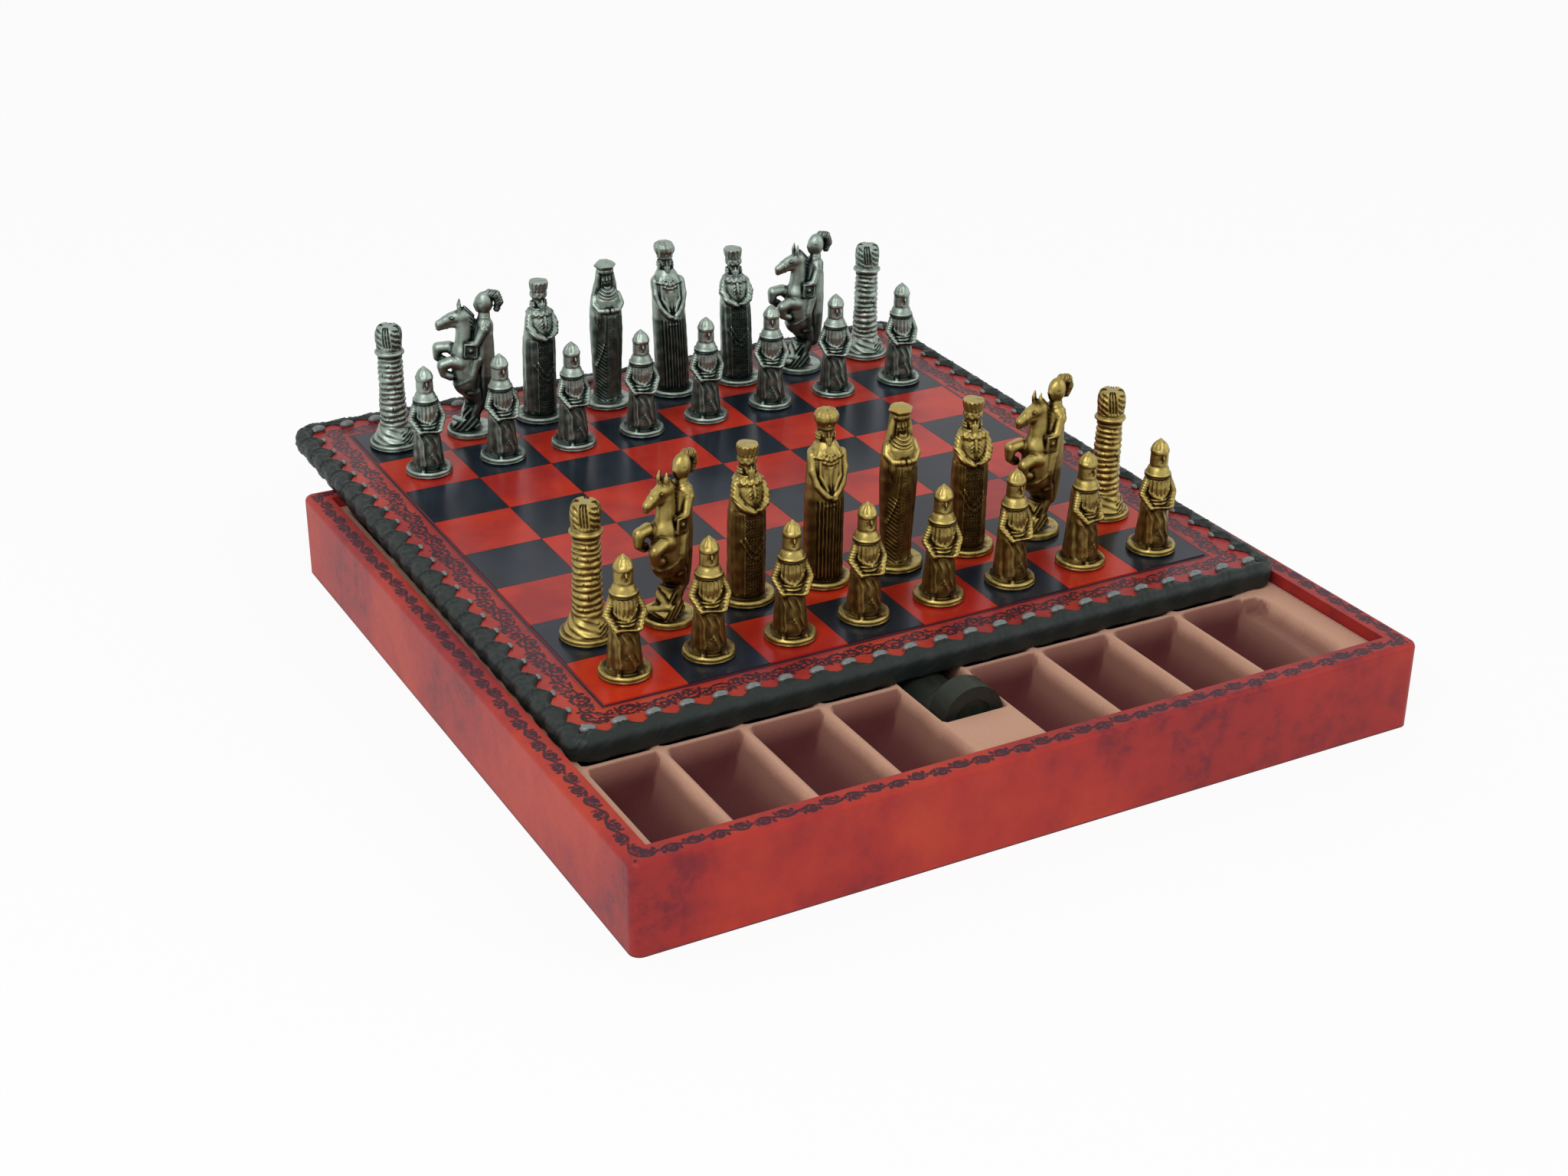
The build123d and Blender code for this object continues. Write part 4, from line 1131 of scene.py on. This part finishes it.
# %% King
def king(at):
    """Distance to the tallest man, 61.5 mm."""
    x, y, z, angle, front, on_front, pair = measures(at)
    gown = turned(
        at,
        [
            (6.5, 2.0), (6.7, 5), (6.6, 16), (6.6, 28), (6.3, 36), (5.8, 43), (5.2, 46.4), (4.1, 49),
            (2.9, 50.8),
        ],
    )
    pleats = (
        0.24 * np.cos(x * tau / 1.15 + 0.15 * np.sin(z)) * window(z, 3, 31) * window(x, -4.4, 4.4)
        * on_front
    )
    belt = ridge(x, z, [(-1.7, 29.6), (1.7, 29.8)], 0.3) * on_front
    rays = np.arctan2(x, z - 31)
    chest = 0.2 * np.cos(rays * 24) * window(z, 34.5, 43, 0.6) * window(x, -3.6, 3.6) * on_front
    hem = 0.16 * np.cos(angle * 12) * fade(-front, -0.4, 0.2) * window(z, 4, 44)
    gown -= pleats + 0.35 * belt + chest + hem
    sleeves = limb(
        pair, [(4.9, -1.2, 46), (5.3, -3.0, 41.4), (4.2, -5.0, 36.6), (1.3, -6.9, 33.4)],
        [1.8, 1.6, 1.3, 1.1],
    )
    inner = limb(pair, [(3.2, -4.4, 45), (3.4, -5.4, 40), (1.2, -6.6, 35.2)], [0.6, 0.6, 0.6])
    hands = joined(
        0.2, egg(at, (-0.8, -7.3, 33.2), (1.4, 1.0, 0.9)), egg(at, (0.9, -7.4, 32.5), (1.3, 0.95, 0.9))
    )
    hands += 0.07 * wave(x + z, 0.7)
    shell_angle = np.arctan2(x, 48.5 - z)
    shell_far = np.hypot(x, 48.5 - z)
    shell = egg(at, (0, -4.0, 45.0), (3.4, 2.0, 3.0))
    shell -= 0.2 * np.cos(shell_angle * 13) * window(shell_far, 1.6, 4.6) + 0.16 * wave(shell_far, 1.5)
    collar = turned(at, [(5.0, 45.3), (5.9, 45.7), (6.0, 46.2), (5.3, 46.8), (4.5, 47.8), (3.0, 50)])
    collar -= 0.16 * np.cos(angle * 16) * window(z, 46.6, 49.4)
    beard = limb(at, [(0, -2.3, 51.4), (0, -3.0, 50.2)], [1.4, 0.8]) - 0.1 * wave(x, 0.8)
    hair = egg(pair, (2.4, 0.4, 52), (0.9, 1.9, 2.2)) - 0.14 * wave(z, 1.1)
    band = turned(at, [(2.9, 54.9), (3.2, 55.2), (3.0, 55.7), (3.2, 56.2), (3.2, 56.7), (3.0, 57.1)])
    dome = turned(
        at, [(3.2, 56.6), (3.5, 57), (3.9, 58), (3.95, 59.4), (3.5, 60.6), (2.2, 61.3), (0.3, 61.5)]
    )
    dome -= 0.13 * np.cos(angle * 10) * fade(np.hypot(x, y), 0.6, 2)
    dome += 0.5 * bell(x, 0.4) * fade(-y, -0.5, 1)
    top = joined(0.15, head(at, 49.6, 56.6, 2.5), beard, hair, band, dome)
    body = joined(0.18, gown, joined(0.15, sleeves, inner, shell, collar), hands)
    return joined(0.3, foot(at, 9.7), joined(0.2, body, top)) + 0.08 * uneven(at, 1.0)


# %% Queen
def queen(at):
    """Distance to the veiled lady, 58.2 mm tall."""
    x, y, z, angle, front, on_front, pair = measures(at)
    gown = turned(
        at,
        [
            (6.0, 2.0), (5.3, 4), (5.4, 12), (5.9, 22), (6.3, 32), (6.1, 39), (5.5, 43.5), (4.2, 46.4),
            (3.1, 48),
        ],
    )
    strip = window(x, -0.9, 0.9, 0.15) * window(z, 2.8, 38, 0.3) * on_front
    gown -= strip * (0.2 + 0.22 * beads(x, z, 1.8, 1.15))
    hatch = wave(x * 0.8 + z, 1.5) * window(x, -4.6, -1.3, 0.2) * window(z, 3, 27, 0.6) * on_front
    folds = 0.25 * np.cos(angle * 9 + 0.1 * z) * fade(x, 1.2, 2.2) * window(z, 3.5, 37)
    hem = 0.15 * np.cos(angle * 8) * fade(-front, -0.2, 0.3) * window(z, 4, 44)
    gown -= (
        0.2 * hatch + folds + hem
        + 0.35 * ridge(x, z, [(-1.4, 38), (-2.2, 26), (-4.8, 17)], 0.35) * on_front
    )
    ring = np.hypot(x, z - 50.2)
    cowl = egg(at, (0, -2.6, 45.0), (3.7, 2.7, 3.7)) - 0.26 * wave(ring - 3.2, 1.35) * on_front
    arms = limb(
        pair, [(4.3, -0.6, 44.4), (5.2, -2.4, 41.6), (3.6, -4.6, 39.6), (1.3, -6.0, 39.8)],
        [1.5, 1.5, 1.3, 1.0],
    )
    fists = egg(pair, (0.95, -6.6, 39.9), (1.0, 1.0, 1.15))
    drop = limb(at, [(-3.6, -4.6, 39.4), (-3.9, -4.8, 36.4), (-3.2, -5.0, 33.4)], [1.3, 1.1, 0.6])
    drop -= 0.12 * wave(x, 0.9)
    veil = limb(at, [(0, 1.0, 53), (0, 1.3, 48), (0, 1.8, 42)], [3.1, 3.6, 4.1]) - 0.15 * np.cos(angle * 9)
    curl = limb(at, [(-2.7, -0.8, 53), (-3.7, -0.8, 48.4), (-5.0, -1.0, 44.6)], [0.8, 1.2, 0.9])
    side = limb(at, [(2.7, -0.8, 53), (3.2, -0.9, 49), (3.6, -1.0, 46)], [0.7, 0.9, 0.8])
    opening = slab(at, (0, -4.0, 50.6), (1.75, 2.2, 2.5), soft=0.5)
    hood = carved(joined(0.3, veil, curl, side), opening, 0.2)
    fold = np.mod(angle + pi / 6, pi / 3) - pi / 6
    faceted = at * np.stack([np.cos(fold) / cos(pi / 6), np.cos(fold) / cos(pi / 6), np.ones_like(x)])
    band = turned(at, [(2.9, 53.4), (3.2, 53.7), (3.2, 54.9), (3.0, 55.2)]) - 0.12 * np.cos(angle * 12)
    crown = turned(faceted, [(2.9, 54.9), (4.0, 55.6), (4.3, 56.1), (4.2, 56.6), (2.6, 57.8), (1.0, 58.2)])
    top = joined(0.2, head(at, 47.8, 54.8, 2.3), hood, band, crown)
    body = joined(0.3, gown, joined(0.3, cowl, arms), joined(0.2, fists, drop))
    return joined(0.3, foot(at, 9.7), joined(0.3, body, top)) + 0.08 * uneven(at, 1.0)


# %% [markdown]
# The knight's horse rears on a ridged rock, neck arched and forelegs bent under it. The rider sits
# against its back in a plumed helmet, with mail on the shoulders, a square shield at the side and a
# cape that falls straight to the rock. The group looks towards -X; the others look towards -Y.


# %% Knight
def knight(at):
    """Distance to the mounted man, 56.5 mm tall."""
    x, y, z = at
    pair = np.stack([x, np.abs(y), z])
    slim = np.stack([x, y * 1.12, z])
    rock = joined(
        0.4, slab(at, (-1.8, -0.5, 4.2), (4.8, 3.9, 2.3), lean=0.3),
        slab(at, (0.4, 0, 8), (3.3, 2.9, 3.6), lean=-0.25),
    )
    rock -= 0.28 * wave(x * 0.8 - z * 0.7 + 0.3 * y, 1.9) * window(z, 2.6, 11)
    trunk = limb(
        slim, [(2.6, 0, 14.2), (-0.2, 0, 20.4), (-0.8, 0, 26), (-1.2, 0, 32)], [3.6, 5.8, 5.5, 5.0]
    )
    neck = limb(slim, [(-0.9, 0, 32), (-0.8, 0, 39.6), (-0.9, 0, 45.6)], [4.2, 3.3, 2.8])
    skull = limb(slim, [(-1.2, 0, 46.4), (-5.4, 0, 45.6), (-9.9, 0, 43.4)], [2.9, 2.2, 1.6])
    jaw = limb(slim, [(-2.6, 0, 43.6), (-6.0, 0, 43.2), (-10.2, 0, 41.9)], [1.9, 1.4, 1.1])
    nostril = egg(pair, (-11.2, 1.4, 43.6), (0.45, 0.5, 0.4))
    lip = limb(pair, [(-12.0, 1.6, 41.9), (-8.4, 2.0, 43.0)], [0.24, 0.16])
    eye = egg(pair, (-5.2, 2.1, 46.3), (0.75, 0.5, 0.5))
    bridle = bell(x + 7.8 + 0.3 * (z - 44), 0.28) * window(x, -9.5, -6.5)
    ears = limb(pair, [(-2.0, 1.3, 47.4), (-2.4, 1.5, 50.2), (-2.1, 1.5, 52.6)], [1.0, 0.8, 0.25])
    mane = (
        limb(at, [(-0.4, 0, 49), (1.6, 0, 46), (2.6, 0, 41.5)], [1.2, 1.5, 1.4])
        - 0.25 * wave(z + x, 1.5)
    )
    far_leg = limb(at, [(-2.8, 2.2, 31.0), (-6.8, 2.6, 33.4), (-10.8, 2.6, 33.2)], [2.9, 2.2, 2.1])
    far_shin = limb(at, [(-11.0, 2.6, 32.6), (-11.2, 2.5, 29.6), (-8.8, 2.4, 28.0)], [2.0, 1.6, 1.7])
    near_leg = limb(at, [(-2.8, -2.2, 28.6), (-6.0, -2.8, 29.4), (-9.4, -2.8, 28.4)], [3.0, 2.3, 2.1])
    near_shin = limb(at, [(-9.6, -2.8, 27.8), (-9.2, -2.7, 24.8), (-6.6, -2.5, 23.6)], [2.0, 1.6, 1.7])
    thigh = limb(pair, [(2.2, 2.6, 17.0), (3.4, 3.1, 12.6), (1.0, 3.0, 7.2)], [2.6, 1.5, 1.3])
    girth = bell(z - 21 - 0.55 * (x + 3), 0.32) * window(x, -8, 1.5)
    torso = limb(at, [(4.3, 0, 30), (5.4, 0, 37), (6.4, 0, 42.6)], [4.1, 3.9, 3.4])
    shoulders = limb(pair, [(6.5, 1.8, 43.4), (6.2, 3.4, 42)], [2.7, 2.0])
    mail = wave(z, 1.1) * wave(x + y, 1.3) * window(z, 40, 46)
    arm = limb(pair, [(6.0, 3.6, 41.6), (3.4, 4.6, 37), (0.4, 3.6, 36.2)], [1.8, 1.4, 1.1])
    shield = slab(at, (1.2, -5.0, 34.2), (2.6, 0.55, 2.9), lean=-0.06, soft=0.35)
    rim = slab(at, (1.2, -5.7, 34.2), (1.9, 0.5, 2.2), lean=-0.06, soft=0.2)
    shield = joined(0.15, carved(shield, rim, 0.15), egg(at, (1.2, -5.1, 34.4), (0.9, 0.7, 0.9)))
    leg = limb(pair, [(3.4, 3.4, 30), (1.6, 4.4, 24.4), (1.6, 4.4, 18.6)], [2.0, 1.4, 1.0])
    spur = limb(pair, [(2.4, 4.4, 17.4), (-0.4, 4.6, 17.2)], [0.9, 0.7])
    cape = limb(at, [(6.4, 0, 42), (6.3, 0, 30), (6.1, 0, 20), (5.6, 0, 12)], [3.5, 3.9, 3.8, 3.4])
    cape += 0.22 * np.cos(np.arctan2(y, x - 3) * 9) * window(z, 11, 40)
    collar = limb(at, [(6.6, 0, 45.4), (6.7, 0, 46.8)], [2.4, 2.2])
    helm = egg(at, (6.9, 0, 51.2), (3.2, 2.9, 4.3))
    visor = limb(at, [(5.0, 0, 52.2), (3.9, 0, 50.6), (4.8, 0, 48.8)], [1.6, 1.1, 1.3])
    slits = limb(pair, [(3.4, 1.6, 51.4), (6.0, 2.9, 51.8)], [0.24, 0.2])
    breath = limb(pair, [(3.4, 1.2, 49.8), (4.8, 2.3, 49.4)], [0.16, 0.16])
    helm = carved(joined(0.4, helm, visor), np.minimum(slits, breath), 0.15)
    comb = limb(at, [(6.6, 0, 54.4), (8.6, 0, 54.9)], [1.0, 1.2])
    plume = limb(
        at, [(8.8, 0, 54.8), (11.2, 0, 54.0), (12.3, 0, 51.4), (11.4, 0, 48.6)], [1.6, 1.9, 1.7, 1.2]
    )
    plume += 0.18 * wave(z - x, 1.3)
    horse = joined(0.9, trunk, neck)
    horse = joined(0.6, horse, skull, jaw) - 0.25 * girth - 0.2 * bridle
    horse = joined(0.4, carved(carved(horse, nostril, 0.15), lip, 0.12), ears, mane)
    horse = joined(0.15, carved(horse, egg(pair, (-5.2, 2.6, 46.2), (1.1, 0.6, 0.8)), 0.3), eye)
    horse = joined(0.5, horse, far_leg, near_leg, thigh)
    horse = joined(0.25, horse, far_shin, near_shin)
    rider = joined(0.5, torso, cape, shoulders - 0.14 * mail)
    rider = joined(0.3, rider, arm, leg, spur, collar)
    rider = joined(0.2, rider, shield, joined(0.25, helm, comb, plume))
    group = joined(0.35, horse, rider)
    return joined(0.35, foot(at, 9.2), joined(0.6, rock, group)) + 0.06 * uneven(at, 1.3)


# %% [markdown]
# The metal is plated, then dipped in a dark bath and rubbed: the bath stays in the hollows, and the
# high places shine. How deep each point lies was worked out from the formula, and is kept on the
# mesh as an attribute, so the finish follows the shape by itself. That attribute also counts the
# lower gown as deeper, which paints it darker as painted shade.


# %% Antique metals
def antique(name, bright, worn, dark, rough):
    """Plated metal whose hollows keep a dark patina, with faint clouds and casting grain."""
    graph = Graph(name, Metallic=1.0)
    where, _ = graph.place()
    # The attribute is the depth for the patina in the hollows, with painted shade on the lower gown added
    # to it.
    hollow = graph.node("ShaderNodeAttribute", {"attribute_name": "hollow"}, out="Fac")
    cloud = graph.noise(where, 240, 5, 0.6)
    grain = graph.noise(where, 1900, 4, 0.65)
    bath = (hollow.ramp(0.16, 0.72) + (cloud - 0.5) * 0.4 + (grain - 0.5) * 0.3).clamp()
    tone = graph.mix((hollow * 2.6 + (cloud - 0.5) * 1.2 + 0.08).clamp(), bright, worn)
    graph.set("Base Color", graph.mix(bath, tone, dark))
    graph.set("Roughness", bath * 0.2 + rough + (grain - 0.5) * 0.12)
    graph.bump(grain * 0.8 + cloud * 1.6, 0.16 * mm, 0.7)
    return graph.material


gold = antique("antique_gold", (0.40, 0.31, 0.095), (0.135, 0.085, 0.024), (0.022, 0.011, 0.005), 0.34)
silver = antique("antique_silver", (0.31, 0.37, 0.32), (0.070, 0.092, 0.080), (0.008, 0.014, 0.012), 0.38)
print("metals:", gold.name, silver.name)

# %% [markdown]
# Every man of a kind comes from one mould, so each kind is worked out once and its mesh is copied.
# A copy is turned, leaned and set down on its square a little off the middle, as somebody who plays
# would leave it.

# %% Cast one of each kind
detail = 1.0
# Each mould: its formula, the heights of crown and waist, the foot's radius, columns and rows.
moulds = {
    "pawn": (pawn, 37.5, 17, 8.5, 120, 166),
    "rook": (rook, 43.5, 0, 9.4, 128, 170),
    "bishop": (bishop, 52.0, 33, 9.7, 144, 210),
    "king": (king, 58.0, 32, 9.7, 144, 230),
    "queen": (queen, 55.5, 38, 9.7, 144, 220),
}
castings, depths = {}, {}
for kind, (form, crown, waist, radius, columns, rows) in moulds.items():
    castings[kind] = skin_by_rays(form, crown, radius, int(columns * detail), int(rows * detail))
    depths[kind] = hollows(form, castings[kind][0], waist)
knight_low, knight_high, knight_step, knight_waist = (-16, -10.4, -0.4), (16, 10.4, 58), 0.375 / detail, 24
castings["knight"] = skin_by_cells(knight, knight_low, knight_high, knight_step)
depths["knight"] = hollows(knight, castings["knight"][0], knight_waist)
for kind, (points, quads, triangles) in castings.items():
    print(kind, "triangles:", 2 * len(quads) + len(triangles), "height:", round(points[:, 2].max(), 1))

# %% Where they stand
# Each entry: millimetres right of the square's middle, millimetres back of it, degrees turned.
gold_pawn_stands = [
    (-0.5, 0.5, -8), (0, 0, -10), (0, -1.5, -15), (-0.5, -0.5, -4),
    (0, 0, -15), (-0.5, -0.5, 5), (0.5, 0.5, 15), (0.5, -1.5, -10),
]
gold_officer_stands = [
    (-0.5, -0.5, 0), (-1, -1.5, 24), (0, 0.5, 0), (0.5, 0.5, -10),
    (0, 0, -10), (0, -0.5, -15), (0, 0, 10), (2, 1, 0),
]
silver_pawn_stands = [
    (0, -0.5, -5), (0.5, -1, 5), (0.5, -1.5, 5), (0.5, -1.5, -10),
    (0, -0.5, -5), (0.5, 0.5, -20), (0.5, 0, -20), (2, -0.5, -5),
]
silver_officer_stands = [
    (-2.5, 0, 0), (-1, -1.5, -20), (0, 0.5, 5), (0.5, 1.5, -10),
    (0.5, 1.5, -12), (0.5, 0.5, -12), (0.5, 0.5, 0), (4, 2, 0),
]
gold_officers = ["rook", "knight", "bishop", "king", "queen", "bishop", "knight", "rook"]
silver_officers = ["rook", "knight", "bishop", "queen", "king", "bishop", "knight", "rook"]
standing_height = 7.85
leans = {"silver_king": -3.0, "silver_bishop_2": -2.3, "silver_bishop_1": 1.0}
towards_right = (0.8775, -0.479)


def set_down(points, column, row, right, back, turn, lean):
    """Lean the man as (height/60)^1.5, turn him about his own axis and stand him on his square."""
    x, y, z = points.T
    spin = radians(turn)
    bent = lean * (np.clip(z, 0, None) / 60) ** 1.5
    across = x * cos(spin) - y * sin(spin) + bent * towards_right[0] + (column - 3.5) * square / mm + right
    away = x * sin(spin) + y * cos(spin) + bent * towards_right[1] + (row - 3.5) * square / mm + back
    return on_board(np.stack([across, away, np.clip(z, 0, None) + standing_height], axis=1))


def stand_rank(army, kinds, row, stands, metal):
    """One rank of eight men, each a copy of his kind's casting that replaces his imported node."""
    for column, (kind, (right, back, turn)) in enumerate(zip(kinds, stands)):
        name = f"{army}_{kind}"
        if kind == "pawn":
            name += f"_{column + 1}"
        elif kind not in ("king", "queen"):
            name += "_1" if column < 4 else "_2"
        points, quads, triangles = castings[kind]
        placed = set_down(points, column, row, right, back, turn, leans.get(name, 0))
        man = mesh_from(f"cast_{name}", placed, quads, triangles)
        depth = man.data.attributes.new("hollow", "FLOAT", "POINT")
        depth.data.foreach_set("value", depths[kind].astype(np.float32))
        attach(man, name)
        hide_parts(name)
        paint(metal, man)


stand_rank("gold", ["pawn"] * 8, 0, gold_pawn_stands, gold)
stand_rank("gold", gold_officers, 1, gold_officer_stands, gold)
stand_rank("silver", ["pawn"] * 8, 6, silver_pawn_stands, silver)
stand_rank("silver", silver_officers, 7, silver_officer_stands, silver)


# %% [markdown]
# A plain pale floor and a white room. The camera and mirror reflections see white, and the lamps
# are large and soft, as in a product photograph.

# %% Floor, room and lamps
floor_mesh = bpy.data.meshes.new("floor")
reach = 3.0
floor_mesh.from_pydata(
    [(-reach, -reach, 0), (reach, -reach, 0), (reach, reach, 0), (-reach, reach, 0)], [], [(0, 1, 2, 3)]
)
floor = bpy.data.objects.new("floor", floor_mesh)
bpy.context.scene.collection.objects.link(floor)
floor_paint = Graph("floor", Roughness=0.9, Specular_IOR_Level=0.1, Base_Color=(0.9, 0.9, 0.9, 1))
floor.data.materials.append(floor_paint.material)


def rays_that_see_white(graph):
    """1 for camera, mirror and glass rays, which see a white room, and 0 for the light that falls."""
    kinds = [graph.node("ShaderNodeLightPath", out=kind) for kind in ("Is Camera Ray", "Is Glossy Ray")]
    return kinds[0].most(kinds[1]).most(graph.node("ShaderNodeLightPath", out="Is Transmission Ray"))


white = floor_paint.node("ShaderNodeEmission", None, (1, 1, 1, 1), 1.0)
share = rays_that_see_white(floor_paint) * 0.9
both = floor_paint.node(
    "ShaderNodeMixShader", None, share, Wire(floor_paint, floor_paint.shader.outputs[0]), white
)
floor_paint.tree.links.new(both.socket, floor_paint.tree.nodes["Material Output"].inputs[0])

room = Graph.__new__(Graph)
world = bpy.data.worlds.new("room")
world.use_nodes = True
bpy.context.scene.world = world
room.tree = world.node_tree
background = room.tree.nodes["Background"]
background.inputs["Color"].default_value = (1, 1, 1, 1)
room_light = 0.62
room.feed(background.inputs["Strength"], rays_that_see_white(room) * (1 - room_light) + room_light)


def lamp(name, place, target, size, power):
    """A square soft lamp at a place, aimed at a target."""
    data = bpy.data.lights.new(name, "AREA")
    data.size = size
    data.energy = power
    made = bpy.data.objects.new(name, data)
    made.location = place
    aim = Vector(target) - Vector(place)
    made.rotation_euler = aim.to_track_quat("-Z", "Y").to_euler()
    bpy.context.scene.collection.objects.link(made)
    return made


lamp("key", (-0.9, -0.7, 1.1), (0, 0, 0), 0.7, 9)
lamp("fill", (1.2, -0.9, 0.8), (0, 0, 0), 0.8, 3)
view = bpy.context.scene.view_settings
view.view_transform = "Standard"
